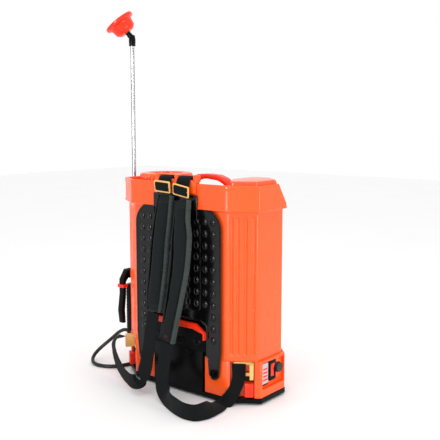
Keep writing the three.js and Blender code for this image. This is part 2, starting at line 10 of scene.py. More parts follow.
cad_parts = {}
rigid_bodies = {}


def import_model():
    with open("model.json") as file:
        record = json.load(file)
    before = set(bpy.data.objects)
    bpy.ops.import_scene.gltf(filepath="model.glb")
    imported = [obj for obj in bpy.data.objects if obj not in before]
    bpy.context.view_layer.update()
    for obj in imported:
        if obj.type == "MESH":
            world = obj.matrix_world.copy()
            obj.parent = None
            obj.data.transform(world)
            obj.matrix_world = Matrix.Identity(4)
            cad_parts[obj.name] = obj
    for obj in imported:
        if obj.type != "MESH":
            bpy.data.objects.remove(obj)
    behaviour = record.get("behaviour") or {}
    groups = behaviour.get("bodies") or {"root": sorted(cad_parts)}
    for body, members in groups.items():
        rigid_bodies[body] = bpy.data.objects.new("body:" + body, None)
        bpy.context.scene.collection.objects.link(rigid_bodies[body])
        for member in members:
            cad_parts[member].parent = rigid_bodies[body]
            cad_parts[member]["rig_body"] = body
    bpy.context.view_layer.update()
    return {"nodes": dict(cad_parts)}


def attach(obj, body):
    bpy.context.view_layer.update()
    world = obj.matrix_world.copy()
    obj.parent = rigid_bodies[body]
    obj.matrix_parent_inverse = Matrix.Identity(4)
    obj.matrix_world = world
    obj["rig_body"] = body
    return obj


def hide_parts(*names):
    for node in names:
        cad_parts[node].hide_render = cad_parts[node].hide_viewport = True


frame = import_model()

MM = 0.001
TWO_PI = 2 * math.pi
X_AXIS, Y_AXIS, Z_AXIS = (1, 0, 0), (0, 1, 0), (0, 0, 1)

# ---- Sizes, in millimetres, in the CAD model's own frame ----
RIM_TOP, RIM_BOTTOM, DECK, BLOCK_TOP = 476, 421, 446, 484
BODY_INSET, WALL = 9, 4
SKIRT_TOP, PLATE_TOP, FOOT = 97, 15, 4
LID = (-112, -3)
LID_RADIUS, LID_BOTTOM, LID_TOP, NECK_RADIUS, BORE_RADIUS = 62.5, 456, 488, 56, 50
BAY_HALF, BAY_BACK, BAY_TOP = 86, -5, 172
SKIRT_OPENING_HALF = 77
LANCE = (-209, -14)
HOSE_RADIUS = 4.5
COIL_CENTRE, COIL_RADIUS = (-180, 190), 50
OUTLET = (-130, 78)
KNOB_FACE, KNOB_Y, KNOB_Z, TICK_RING = 193.4, 25, 68, 14.6


# ---- Camera, light and floor ----
def aim(obj, direction):
    obj.rotation_euler = Vector(direction).to_track_quat("-Z", "Y").to_euler()


def make_camera():
    data = bpy.data.cameras.new("camera")
    data.sensor_width = 36
    data.lens = 61.14
    camera = bpy.data.objects.new("camera", data)
    bpy.context.scene.collection.objects.link(camera)
    camera.location = (1.0985, -1.3046, 0.6118)
    aim(camera, (-0.6213, 0.7722, -0.1330))
    bpy.context.scene.camera = camera


def area_light(name, place, target, size, power, glints_only=False):
    """A soft light panel: size is its width and height. One for glints shows only in shiny surfaces."""
    data = bpy.data.lights.new(name, "AREA")
    data.shape = "RECTANGLE"
    data.size, data.size_y = size
    data.energy = power
    light = bpy.data.objects.new(name, data)
    bpy.context.scene.collection.objects.link(light)
    light.location = place
    light.visible_diffuse = not glints_only
    aim(light, Vector(target) - Vector(place))


def make_studio():
    world = bpy.data.worlds.new("studio")
    bpy.context.scene.world = world
    world.use_nodes = True
    background = world.node_tree.nodes["Background"]
    background.inputs["Color"].default_value = (1, 1, 1, 1)
    background.inputs["Strength"].default_value = 1.0
    bpy.context.scene.view_settings.view_transform = "Standard"
    area_light("right_strip", (2.3, -0.2, 0.3), (0.1, 0, 0.3), (0.22, 1.3), 20)
    area_light("front_strip", (0.35, -2.5, 0.6), (0, 0, 0.28), (0.3, 0.9), 9)
    area_light("glints", (0.5, -2.5, 0.75), (0, 0, 0.28), (0.5, 0.9), 30, glints_only=True)
    area_light("top", (0.5, -0.4, 2.4), (0, 0, 0.3), (1.4, 1.4), 10)


# ---- Meshes ----
@contextmanager
def editing(mesh, source=None):
    """An editable copy of the source, or of the mesh itself, written to the mesh at the end."""
    bm = bmesh.new()
    bm.from_mesh(source or mesh)
    yield bm
    bm.to_mesh(mesh)
    bm.free()


def mesh_object(name, points, faces, smooth_angle=35):
    """An object from points in millimetres."""
    mesh = bpy.data.meshes.new(name)
    mesh.from_pydata([Vector(p) * MM for p in points], [], faces)
    with editing(mesh) as bm:
        bmesh.ops.recalc_face_normals(bm, faces=bm.faces)
    obj = bpy.data.objects.new(name, mesh)
    bpy.context.scene.collection.objects.link(obj)
    shade(obj, smooth_angle)
    return obj


def shade(obj, angle=35):
    obj.data.shade_smooth()
    obj.data.set_sharp_from_angle(angle=math.radians(angle))


def apply_modifiers(obj):
    graph = bpy.context.evaluated_depsgraph_get()
    mesh = bpy.data.meshes.new_from_object(obj.evaluated_get(graph))
    obj.modifiers.clear()
    obj.data = mesh
    return obj


def boolean(obj, cutter, operation="DIFFERENCE"):
    modifier = obj.modifiers.new("boolean", "BOOLEAN")
    modifier.operation = operation
    modifier.solver = "EXACT"
    modifier.object = cutter
    apply_modifiers(obj)
    bpy.data.objects.remove(cutter)
    shade(obj)
    return obj


def bevel(obj, width, segments=2, angle=30):
    modifier = obj.modifiers.new("bevel", "BEVEL")
    modifier.width = width * MM
    modifier.segments = segments
    modifier.limit_method = "ANGLE"
    modifier.angle_limit = math.radians(angle)
    apply_modifiers(obj)
    shade(obj, 40)
    return obj


def join(obj, *others):
    """Several closed bodies as one object."""
    with editing(obj.data) as bm:
        for part in others:
            bm.from_mesh(part.data)
    for part in others:
        bpy.data.objects.remove(part)
    shade(obj)
    return obj


def loft(name, rings, closed_ends=True, smooth_angle=35):
    """A skin through rings of equal length, with a face over each end."""
    count = len(rings[0])
    points = [p for ring in rings for p in ring]
    faces = []
    for i in range(len(rings) - 1):
        for k in range(count):
            a, b = i * count + k, i * count + (k + 1) % count
            faces.append((a, b, b + count, a + count))
    if closed_ends:
        faces.append(tuple(range(count))[::-1])
        faces.append(tuple(range(len(points) - count, len(points))))
    return mesh_object(name, points, faces, smooth_angle)


def turned(name, profile, start, direction, segments=64, smooth_angle=35):
    """A body of revolution: profile rows are (radius, distance along the axis), in a closed loop."""
    turn = Vector(Z_AXIS).rotation_difference(Vector(direction).normalized())
    rings = []
    for i in range(segments):
        angle = TWO_PI * i / segments
        ring = [Vector((r * math.cos(angle), r * math.sin(angle), h)) for r, h in profile]
        rings.append([turn @ p + Vector(start) for p in ring])
    obj = loft(name, rings + rings[:1], False, smooth_angle)
    with editing(obj.data) as bm:
        bmesh.ops.remove_doubles(bm, verts=bm.verts, dist=1e-7)
        bmesh.ops.dissolve_degenerate(bm, edges=bm.edges, dist=1e-7)
        bmesh.ops.recalc_face_normals(bm, faces=bm.faces)
    shade(obj, smooth_angle)
    return obj


def rod(name, radius, length, start, direction, segments=40, edge=0.6):
    """A round bar with a small chamfer at each end."""
    profile = [(0, 0), (radius - edge, 0), (radius, edge), (radius, length - edge),
               (radius - edge, length), (0, length)]
    return turned(name, profile, start, direction, segments)


def block(name, x0, x1, y0, y1, z0, z1):
    points = [(x, y, z) for z in (z0, z1) for x, y in ((x0, y0), (x1, y0), (x1, y1), (x0, y1))]
    faces = [(3, 2, 1, 0), (4, 5, 6, 7), (0, 1, 5, 4), (1, 2, 6, 5), (2, 3, 7, 6), (3, 0, 4, 7)]
    return mesh_object(name, points, faces)


def prism(name, outline, low, high, axis="z"):
    """An outline drawn in two axes and pulled along the third."""
    place = {
        "x": lambda a, b, h: (h, a, b),
        "y": lambda a, b, h: (a, h, b),
        "z": lambda a, b, h: (a, b, h),
    }[axis]
    return loft(name, [[place(a, b, h) for a, b in outline] for h in (low, high)])


# ---- Outlines ----
def octagon(half, back, front, back_flat, back_chamfer, front_flat, front_chamfer):
    back_end, front_end = back + back_chamfer, front - front_chamfer
    right = [(back_flat, back), (half, back_end), (half, front_end), (front_flat, front)]
    left = [(-x, y) for x, y in reversed(right)]
    return left[-1:] + right + left[:-1]


RIM_PLAN = octagon(200, -95, 95, 139, 40, 150, 49)
SKIRT_PLAN = octagon(198.6, -87.7, 93.6, 136.6, 42.4, 149, 48)
CORNER_RADII = [22, 22, 7, 9, 12, 12, 9, 7]


def inset(outline, distance):
    """A convex outline with every edge moved inwards by the same distance."""
    count = len(outline)
    lines = []
    for i, (x, y) in enumerate(outline):
        next_x, next_y = outline[(i + 1) % count]
        length = math.hypot(next_x - x, next_y - y)
        a, b = -(next_y - y) / length, (next_x - x) / length
        lines.append((a, b, a * x + b * y + distance))
    result = []
    for i, (a, b, c) in enumerate(lines):
        p, q, r = lines[i - 1]
        scale = a * q - b * p
        result.append(((c * q - b * r) / scale, (a * r - c * p) / scale))
    return result


def clip(outline, a, b, c):
    """The part of an outline where a * x + b * y >= c."""
    result = []
    for i, (x, y) in enumerate(outline):
        last_x, last_y = outline[i - 1]
        here, before = a * x + b * y - c, a * last_x + b * last_y - c
        if here * before < 0:
            t = before / (before - here)
            result.append((last_x + t * (x - last_x), last_y + t * (y - last_y)))
        if here >= 0:
            result.append((x, y))
    return result


def rounded(outline, radii, arc_steps=6, fractions=None):
    """An outline with its corners rounded, and extra points along each edge at the given fractions."""
    count = len(outline)
    if isinstance(radii, (int, float)):
        radii = [radii] * count
    corners = []
    for i, point in enumerate(outline):
        here = Vector(point)
        to_last = (Vector(outline[i - 1]) - here).normalized()
        to_next = (Vector(outline[(i + 1) % count]) - here).normalized()
        half = to_last.angle(to_next) / 2
        room = radii[i] / math.tan(half)
        centre = here + (to_last + to_next).normalized() * radii[i] / math.sin(half)
        first, last = here + to_last * room, here + to_next * room
        arc = []
        for k in range(arc_steps + 1):
            t = k / arc_steps
            sweep = 2 * (math.pi / 2 - half)
            a, b = math.sin((1 - t) * sweep), math.sin(t * sweep)
            spoke = ((first - centre) * a + (last - centre) * b) / math.sin(sweep)
            arc.append(centre + spoke)
        corners.append(arc)
    points = []
    for i, arc in enumerate(corners):
        points += arc
        start, end = arc[-1], corners[(i + 1) % count][0]
        if fractions:
            points += [start.lerp(end, t) for t in fractions[i]]
    return [(p.x, p.y) for p in points]


def rounded_box(x0, x1, y0, y1, radius, steps=6):
    return rounded([(x0, y0), (x1, y0), (x1, y1), (x0, y1)], radius, steps)


def at_height(outline, z):
    return [(x, y, z) for x, y in outline]


# ---- Material building blocks ----
class Paint:
    """A node material: small helpers that add nodes to a Principled shader."""

    def __init__(self, name):
        self.material = bpy.data.materials.new(name)
        self.material.use_nodes = True
        self.tree = self.material.node_tree
        self.shader = self.tree.nodes["Principled BSDF"]
        self.place = self.node("ShaderNodeTexCoord").outputs["Object"]

    def node(self, kind, **settings):
        made = self.tree.nodes.new(kind)
        for key, value in settings.items():
            setattr(made, key, value)
        return made

    def link(self, output, target):
        self.tree.links.new(output, target)

    def set(self, **values):
        for key, value in values.items():
            self.shader.inputs[key.replace("_", " ")].default_value = value

    def stretched(self, scale, source=None):
        mapping = self.node("ShaderNodeMapping")
        mapping.inputs["Scale"].default_value = scale
        self.link(source or self.place, mapping.inputs["Vector"])
        return mapping.outputs["Vector"]

    def noise(self, scale, detail=3, vector=None):
        made = self.node("ShaderNodeTexNoise")
        made.inputs["Scale"].default_value = scale
        made.inputs["Detail"].default_value = detail
        self.link(vector or self.place, made.inputs["Vector"])
        return made.outputs["Fac"]

    def wave(self, scale, direction, vector=None, distortion=0.0):
        made = self.node("ShaderNodeTexWave", bands_direction=direction)
        made.inputs["Scale"].default_value = scale
        made.inputs["Distortion"].default_value = distortion
        self.link(vector or self.place, made.inputs["Vector"])
        return made.outputs["Fac"]

    def between(self, value, low, high, to_low, to_high):
        made = self.node("ShaderNodeMapRange")
        for key, number in zip(("From Min", "From Max", "To Min", "To Max"), (low, high, to_low, to_high)):
            made.inputs[key].default_value = number
        self.link(value, made.inputs["Value"])
        return made.outputs["Result"]

    def mix(self, amount, first, second):
        made = self.node("ShaderNodeMix", data_type="RGBA")
        self.link(amount, made.inputs["Factor"])
        for socket, color in ((made.inputs[6], first), (made.inputs[7], second)):
            if isinstance(color, tuple):
                socket.default_value = (*color, 1)
            else:
                self.link(color, socket)
        return made.outputs[2]

    def math(self, operation, first, second):
        made = self.node("ShaderNodeMath", operation=operation)
        for socket, value in zip(made.inputs, (first, second)):
            if isinstance(value, (int, float)):
                socket.default_value = value
            else:
                self.link(value, socket)
        return made.outputs[0]

    def color(self, output):
        self.link(output, self.shader.inputs["Base Color"])

    def roughness(self, output):
        self.link(output, self.shader.inputs["Roughness"])

    def bump(self, height, strength, distance, under=None):
        made = self.node("ShaderNodeBump")
        made.inputs["Strength"].default_value = strength
        made.inputs["Distance"].default_value = distance * MM
        self.link(height, made.inputs["Height"])
        if under:
            self.link(under, made.inputs["Normal"])
        self.link(made.outputs["Normal"], self.shader.inputs["Normal"])
        return made.outputs["Normal"]


def shades(color, factor):
    return tuple(min(1, c * factor) for c in color)


def plastic(name, color, roughness, grain=900, scuffs=0.35, variation=0.07, shine=0.5):
    """Moulded plastic: faint flow marks, a fine spark-eroded grain and light scuffs."""
    paint = Paint(name)
    flow = paint.noise(9, 4, paint.stretched((1, 1, 0.35)))
    body = paint.mix(flow, shades(color, 1 - variation), shades(color, 1 + variation))
    marks = paint.noise(70, 6, paint.stretched((1, 1, 0.25)))
    scuff = paint.between(marks, 0.62, 0.78, 0, scuffs)
    dusty = tuple(c * 0.8 + 0.12 for c in color)
    paint.color(paint.mix(scuff, body, dusty))
    fine = paint.noise(grain, 2)
    mottled = paint.between(paint.noise(30, 3), 0.3, 0.7, roughness - 0.05, roughness + 0.06)
    paint.roughness(paint.math("ADD", mottled, paint.math("MULTIPLY", scuff, 0.4)))
    wavy = paint.bump(paint.noise(14, 2), 0.12, 1.2)
    paint.bump(fine, 0.16, 0.12, wavy)
    paint.set(Specular_IOR_Level=shine)
    return paint.material


def cloth(name, dark, light, thread, sheen=0.04, from_uv=False):
    """Woven fabric: over-and-under threads of a given spacing in millimetres, with lint and fading."""
    paint = Paint(name)
    vector = None
    along, across = "Z", "X"
    if from_uv:
        vector = paint.node("ShaderNodeUVMap", uv_map="weave").outputs["UV"]
        along = "Y"
    scale = 0.314 / (thread * MM)
    warp = paint.wave(scale, across, vector)
    weft = paint.wave(scale * 0.8, along, vector, 0.3)
    weave = paint.math("MULTIPLY", warp, weft)
    fading = paint.noise(35, 4)
    lint = paint.between(paint.noise(420, 5), 0.6, 0.75, 0, 0.5)
    tone = paint.math("ADD", paint.math("MULTIPLY", weave, 0.6), paint.math("MULTIPLY", fading, 0.4))
    cloth_color = paint.mix(tone, dark, light)
    paint.color(paint.mix(lint, cloth_color, shades(light, 1.5)))
    paint.roughness(paint.between(fading, 0.3, 0.7, 0.78, 0.95))
    soft = paint.bump(paint.noise(60, 3), 0.25, 0.8)
    paint.bump(weave, 0.6, 0.35, soft)
    paint.set(Sheen_Weight=sheen, Sheen_Roughness=0.5, Specular_IOR_Level=0.07)
    return paint.material


def metal(name, color, roughness, stretch=(1, 1, 0.04)):
    """Drawn or turned metal: fine lines along the work, with faint stains."""
    paint = Paint(name)
    lines = paint.noise(900, 4, paint.stretched(stretch))
    stains = paint.noise(40, 5)
    paint.color(paint.mix(stains, shades(color, 0.8), shades(color, 1.12)))
    paint.roughness(paint.between(lines, 0.3, 0.7, roughness - 0.06, roughness + 0.1))
    paint.bump(lines, 0.12, 0.1)
    paint.set(Metallic=1.0)
    return paint.material


def rubber(name, color, roughness):
    """Smooth extruded rubber or soft vinyl, a little dusty."""
    paint = Paint(name)
    dust = paint.between(paint.noise(55, 6), 0.5, 0.8, 0, 0.4)
    tint = paint.mix(paint.noise(20, 3), shades(color, 0.8), shades(color, 1.25))
    paint.color(paint.mix(dust, tint, tuple(c + 0.035 for c in color)))
    paint.roughness(paint.between(paint.noise(120, 4), 0.3, 0.7, roughness - 0.07, roughness + 0.1))
    paint.bump(paint.noise(700, 3), 0.15, 0.15)
    paint.set(Specular_IOR_Level=0.3)
    return paint.material


ORANGE = plastic("orange_plastic", (1.0, 0.097, 0.009), 0.22, scuffs=0.05, shine=0.45)
# A darker, redder copy of the orange plastic. On the rocker switch, lever lock, display segments and spray
# cup it is their own colour. On the carry handle, battery handle and hook pegs it is painted shade: orange
# parts coloured as they look in shadow.
RED_AND_SHADED_ORANGE = plastic("red_orange_plastic_and_painted_shade", (0.85, 0.028, 0.003), 0.24, scuffs=0.08, shine=0.35)
BLACK = plastic("black_plastic", (0.0022, 0.0022, 0.0025), 0.3, scuffs=0.02, shine=0.1)
GLOSS_BLACK = plastic("gloss_black_plastic", (0.0025, 0.0025, 0.003), 0.14, scuffs=0.02, shine=0.3)
GREY = plastic("grey_plastic", (0.025, 0.027, 0.029), 0.42, scuffs=0.2, shine=0.3)
TAN = plastic("tan_plastic", (0.83, 0.47, 0.13), 0.34)
PAD = cloth("pad_fabric", (0.0045, 0.006, 0.006), (0.015, 0.019, 0.019), 1.3)
# Painted light: a lighter grey copy of the tape fabric, used only for the binding tape on each pad's +x side,
# which faces the lamps. The same tape on the other side takes the dark pad fabric.
LIT_SIDE_TAPE_FABRIC = cloth("lit_side_tape_painted_light", (0.022, 0.028, 0.026), (0.08, 0.097, 0.09), 1.0, sheen=0.08)
WEBBING = cloth("webbing", (0.003, 0.0035, 0.004), (0.01, 0.0115, 0.012), 1.6, from_uv=True)
THREAD = cloth("thread", (0.02, 0.022, 0.023), (0.06, 0.065, 0.066), 0.6)
RED_THREAD = cloth("red_thread", (0.12, 0.015, 0.012), (0.3, 0.04, 0.03), 0.6)
STEEL = metal("steel", (0.36, 0.36, 0.365), 0.2)
BRASS = metal("brass", (0.72, 0.5, 0.2), 0.28)
COPPER = metal("copper_winding", (0.5, 0.24, 0.12), 0.4, (0.1, 1, 1))
RUBBER = rubber("rubber", (0.008, 0.008, 0.009), 0.38)
WINDOW = plastic("display_window", (0.5, 0.43, 0.46), 0.12, grain=300, scuffs=0.1)


def piece(obj, material, *nodes, body="sprayer"):
    """obj rides on a body, has a finish, and stands for its CAD nodes."""
    obj.data.materials.clear()
    obj.data.materials.append(material)
    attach(obj, body)
    if nodes:
        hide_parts(*nodes)
    return obj


def eased(node, width=0.8, segments=2):
    """A copy of a CAD part's shape with its edges rounded over."""
    mesh = bpy.data.meshes.new(node + "_eased")
    with editing(mesh, frame["nodes"][node].data) as bm:
        bmesh.ops.remove_doubles(bm, verts=bm.verts, dist=3e-6)
        bmesh.ops.dissolve_limit(bm, angle_limit=math.radians(1.5), verts=bm.verts, edges=bm.edges)
    obj = bpy.data.objects.new(node + "_eased", mesh)
    bpy.context.scene.collection.objects.link(obj)
    return bevel(obj, width, segments)


def finish(node, material, width=0.8, extras=()):
    """A CAD part with rounded edges and any extra detail, riding on the part's own body."""
    obj = eased(node, width)
    if extras:
        join(obj, *extras)
    return piece(obj, material, node, body=frame["nodes"][node]["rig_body"])


def keep(node, material):
    """A CAD part that stays as it is, with a better material."""
    obj = frame["nodes"][node]
    obj.data.materials.clear()
    obj.data.materials.append(material)
    return obj


# ---- Tank ----
FLUTED_START, FACET_ALONG = (135.5, -86), (0.836, 0.549)
FLUTES = (11, 24, 41, 58)
FLUTE_RADIUS, FLUTE_DEPTH, FLUTE_BOTTOM, FLUTE_TOP = 3.9, 2.8, 113, 407


def flute_depth(s, z):
    """How far the surface of a back corner is sunk, s millimetres along it: channels with round ends."""
    depth = 0
    for centre in FLUTES:
        beyond = max(FLUTE_BOTTOM - z, 0, z - FLUTE_TOP)
        distance = math.hypot(s - centre, beyond)
        if distance < FLUTE_RADIUS:
            depth = FLUTE_DEPTH * math.cos(distance / FLUTE_RADIUS * math.pi / 2)
    return depth


def fluted(x, y, z):
    """A point of the tank's wall, moved inwards if it lies in one of the flutes."""
    side = 1 if x > 0 else -1
    across, along = abs(x) - FLUTED_START[0], y - FLUTED_START[1]
    s = across * FACET_ALONG[0] + along * FACET_ALONG[1]
    outward = across * FACET_ALONG[1] - along * FACET_ALONG[0]
    if abs(outward) > 0.6 or not 5 < s < 64:
        return x, y, z
    depth = flute_depth(s, z)
    return x - side * depth * FACET_ALONG[1], y + depth * FACET_ALONG[0], z


def even(count):
    return [(i + 1) / (count + 1) for i in range(count)]


PARTING = [0.1, 0.25, 0.4, 0.455, 0.475, 0.49, 0.505, 0.525, 0.6, 0.75, 0.9]
MIRRORED_PARTING = [1 - t for t in reversed(PARTING)]
WALL_FRACTIONS = [even(8), even(62), PARTING, even(6), even(10), even(6), MIRRORED_PARTING, even(62)]


def wall_ring(distance, z):
    radii = [max(2, r - max(0, distance - BODY_INSET)) for r in CORNER_RADII]
    outline = rounded(inset(RIM_PLAN, distance), radii, 6, WALL_FRACTIONS)
    return at_height(outline, z)


def body_heights():
    lower = [97.3, 101, 106, 108, 109.2, 110.5, 112, 114, 118, 124]
    middle = [130 + 30 * i for i in range(9)]
    upper = [390, 398, 404, 406.5, 408, 409.2, 410.3, 411.4, 413, 416]
    return lower + middle + upper


def tank_wall():
    rings = []
    for z in body_heights():
        rings.append([fluted(*p) for p in wall_ring(BODY_INSET, z)])
    profile = [(8.6, 419), (7.4, 420.5), (4, RIM_BOTTOM), (1.2, RIM_BOTTOM), (0.2, 422), (0, 423.5),
               (0.2, 425.2), (1.1, 426.4), (1.2, 430), (1.2, 464), (1.1, 466.4), (0.4, 467.6), (0.2, 469),
               (0.2, 472.4), (0.8, 474.6), (2, RIM_TOP), (6, RIM_TOP), (7.3, 475), (8, 473), (8.2, 452),
               (9.4, 448.4), (12, 446.4), (15, DECK), (25, DECK), (45, DECK), (70, DECK), (80, DECK)]
    rings += [wall_ring(distance, z) for distance, z in profile]
    return loft("tank", rings)


SHOULDER_HALF = 60


def shoulder(side, drop):
    """The slanting slab that takes off an upper front corner of the tank."""
    level = Vector((-50 * side, 44, 0)).normalized()
    fall = Vector((0, 35, -51))
    outward = level.cross(fall).normalized()
    if outward.z < 0:
        outward.negate()
    basis = Matrix((level, outward.cross(level), outward)).transposed()
    centre = Vector((side * 200, 13, RIM_TOP)) + outward * (SHOULDER_HALF - drop)
    slab = block("shoulder", -200, 200, -150, 150, -SHOULDER_HALF, SHOULDER_HALF)
    slab.data.transform(Matrix.Translation(centre * MM) @ basis.to_4x4())
    return slab


def edged_stack(name, outline, radius, levels):
    """A rounded outline at several heights: levels are (distance inwards, z)."""
    rings = [at_height(rounded(inset(outline, d), max(radius - d, 1.5), 8), z) for d, z in levels]
    return loft(name, rings)


def raised_block():
    outline = clip(clip(inset(RIM_PLAN, 14), 1, 0, 98), 0, -1, -60)
    outline = clip(outline, 64, 44, 64 * 98 - 44 * 20)
    levels = [(0, 440), (0, BLOCK_TOP - 4), (0.5, BLOCK_TOP - 1.8), (1.7, BLOCK_TOP - 0.5), (3.5, BLOCK_TOP),
              (8, BLOCK_TOP)]
    return edged_stack("block", outline, 8, levels)


def tank_shell():
    tank = tank_wall()
    boolean(tank, raised_block(), "UNION")
    neck = rod("neck", NECK_RADIUS, 28, (*LID, DECK - 2), Z_AXIS, 96, 1.2)
    boolean(tank, neck, "UNION")
    inner_plan = inset(RIM_PLAN, BODY_INSET + WALL)
    inner = edged_stack("inner", inner_plan, 8, [(0, SKIRT_TOP + 6), (0, DECK - WALL)])
    bay_wall = (-BAY_HALF - WALL, BAY_HALF + WALL, -120, BAY_BACK + WALL)
    boolean(inner, block("bay_wall", *bay_wall, -10, BAY_TOP + WALL))
    for side in (-1, 1):
        boolean(inner, shoulder(side, 6))
    boolean(tank, inner)
    bay = prism("bay", rounded_box(-BAY_HALF, BAY_HALF, -20, BAY_TOP, 6), -130, BAY_BACK, "y")
    boolean(tank, bay)
    for side in (-1, 1):
        boolean(tank, shoulder(side, 0))
    notch = prism("notch", rounded_box(-98, 96, DECK, 520, 9), 60, 130, "y")
    boolean(tank, notch)
    boolean(tank, rod("bore", BORE_RADIUS, 70, (*LID, DECK - 20), Z_AXIS, 96, 0.1))
    return piece(tank, ORANGE, "tank_shell")


# ---- Base ----
FACET_START = (136.6, -87.7)
FACET_DIRECTION = (0.8255, 0.5645)


def facet_place(side, s, d, z=None):
    """A point s along a back corner of the base and d inside its face."""
    ux, uy = FACET_DIRECTION
    x = side * (FACET_START[0] + s * ux - d * uy)
    y = FACET_START[1] + s * uy + d * ux
    return (x, y) if z is None else (x, y, z)


def facet_prism(name, side, s0, s1, d0, d1, z0, z1, radius=0.0):
    """A box lying square to a back corner of the base, its four edges seen from outside rounded."""
    if radius:
        outline = rounded_box(s0, s1, z0, z1, radius, 4)
    else:
        outline = [(s0, z0), (s1, z0), (s1, z1), (s0, z1)]
    return loft(name, [[facet_place(side, s, d, z) for s, z in outline] for d in (d0, d1)])


def base_skirt():
    levels = [(0.8, PLATE_TOP + 0.3), (0, PLATE_TOP + 1.4), (0, SKIRT_TOP - 3.2), (0.7, SKIRT_TOP - 1.2),
              (2.4, SKIRT_TOP)]
    rings = [at_height(rounded(inset(SKIRT_PLAN, d), CORNER_RADII, 8), z) for d, z in levels]
    skirt = loft("skirt", rings)
    cavity = edged_stack("cavity", inset(SKIRT_PLAN, WALL), 8, [(0, 0), (0, 120)])
    for side in (-1, 1):
        boolean(cavity, facet_prism("pocket_wall", side, 4, 65, -5, 16, -5, 125))
    boolean(cavity, block("panel_wall", 186, 220, -44, 46, 29, 125))
    boolean(skirt, cavity)
    for side in (-1, 1):
        boolean(skirt, facet_prism("pocket", side, 8, 61, -5, 12, -5, 125))
    panel = prism("panel_recess", rounded_box(-40, 42, 33, 92, 3), 190, 220, "x")
    boolean(skirt, panel)
    boolean(skirt, block("battery_opening", -SKIRT_OPENING_HALF, SKIRT_OPENING_HALF, -120, -60, -5, 120))
    boolean(skirt, block("rocker_hole", 180, 200, -7, 9, 51, 86))
    boolean(skirt, rod("knob_hole", 3.5, 20, (180, KNOB_Y, KNOB_Z), X_AXIS))
    boolean(skirt, rod("outlet_hole", 8.4, 20, (OUTLET[0], 84, OUTLET[1]), Y_AXIS))
    boolean(skirt, rod("socket_hole", 8.4, 20, (130, 84, 42), Y_AXIS))
    return piece(skirt, ORANGE, "base_skirt")


def base_plate():
    outline = inset(SKIRT_PLAN, -1.2)
    levels = [(1, FOOT), (0, FOOT + 1), (0, PLATE_TOP - 1), (1, PLATE_TOP)]
    rings = [at_height(rounded(inset(outline, d), CORNER_RADII, 8), z) for d, z in levels]
    plate = loft("plate", rings)
    feet = [(-165, -30), (165, -30), (-120, 70), (120, 70), (-118, -70), (118, -70)]
    profile = [(0, 0), (11, 0), (13, 0.7), (14, 2.2), (14, 5), (0, 5)]
    pads = [turned("foot", profile, (x, y, 0), Z_AXIS, 40) for x, y in feet]
    middle = bevel(block("middle_foot", -45, 45, -25, 25, 0, FOOT + 1), 1.2)
    return piece(join(plate, middle, *pads), BLACK, "base_plate")


# ---- Filler ----
def ribbed_rings(rows, ribs, segments, place, sharpness=0.5):
    """Rings round an axis: rows are (radius, distance along it, how far the ribs stand out).

    place turns the two distances across the axis and the one along it into a point.
    """
    rings = []
    for radius, h, depth in rows:
        ring = []
        for i in range(segments):
            angle = TWO_PI * i / segments
            r = radius - depth * (1 - max(0, math.cos(ribs * angle)) ** sharpness)
            ring.append(place(r * math.cos(angle), r * math.sin(angle), h))
        rings.append(ring)
    return rings


def make_lid():
    inside = LID_TOP - 9
    rows = [(2, inside, 0), (57, inside, 0), (57.4, inside - 1, 0), (57.4, 457, 0), (58, LID_BOTTOM, 0),
            (61, LID_BOTTOM, 0.4), (LID_RADIUS, 457.4, 1.6), (LID_RADIUS, 481, 1.6), (62, 484, 1.2),
            (60.6, 486.3, 0.5), (58.5, 487.6, 0), (56, LID_TOP, 0), (43, LID_TOP, 0), (41.5, 487.3, 0),
            (40, 486.3, 0), (38, 486, 0), (15, 486, 0), (13.6, 486.6, 0), (12.4, 487.8, 0),
            (11, LID_TOP, 0), (2, LID_TOP, 0)]
    rings = ribbed_rings(rows, 36, 432, lambda a, b, z: (LID[0] + a, LID[1] + b, z), 0.6)
    lid = loft("lid_cap", rings)
    grips = []
    for i in range(6):
        turn = Matrix.Rotation(TWO_PI * i / 6, 4, "Z")
        grip = bevel(block("grip", 17, 37, -2.2, 2.2, 485, 487.9), 0.8)
        grip.data.transform(Matrix.Translation(Vector((*LID, 0)) * MM) @ turn)
        grips.append(grip)
    piece(join(lid, *grips), ORANGE, "lid", body="lid")
    profile = [(0, 488.3), (9, 488.3), (9, 489.6), (8.2, 490.8), (6, 491.1), (5.6, 490.3), (3, 490.3),
               (2.6, 491.2), (0, 491.4)]
    vent = turned("vent", profile, (*LID, 0), Z_AXIS, 48)
    piece(vent, ORANGE, "lid_vent", body="lid")
    keep("lid_gasket", RUBBER)
    keep("strainer_basket", BLACK)


# ---- Straps ----
def spline(points, t):
    """A point on the centripetal Catmull-Rom curve through the points, t from 0 to 1."""
    last = len(points) - 1
    place = min(t * last, last - 1e-9)
    i = int(place)
    w = place - i
    p1, p2 = points[i], points[i + 1]
    p0 = points[i - 1] if i > 0 else 2 * p1 - p2
    p3 = points[i + 2] if i + 2 <= last else 2 * p2 - p1
    d1 = math.sqrt((p2 - p1).length) or 1
    d0 = math.sqrt((p1 - p0).length) or d1
    d2 = math.sqrt((p3 - p2).length) or d1
    m1 = ((p1 - p0) / d0 - (p2 - p0) / (d0 + d1) + (p2 - p1) / d1) * d1
    m2 = ((p2 - p1) / d1 - (p3 - p1) / (d1 + d2) + (p3 - p2) / d2) * d1
    return p1 + m1 * w + (3 * (p2 - p1) - 2 * m1 - m2) * w * w + (2 * (p1 - p2) + m1 + m2) * w ** 3


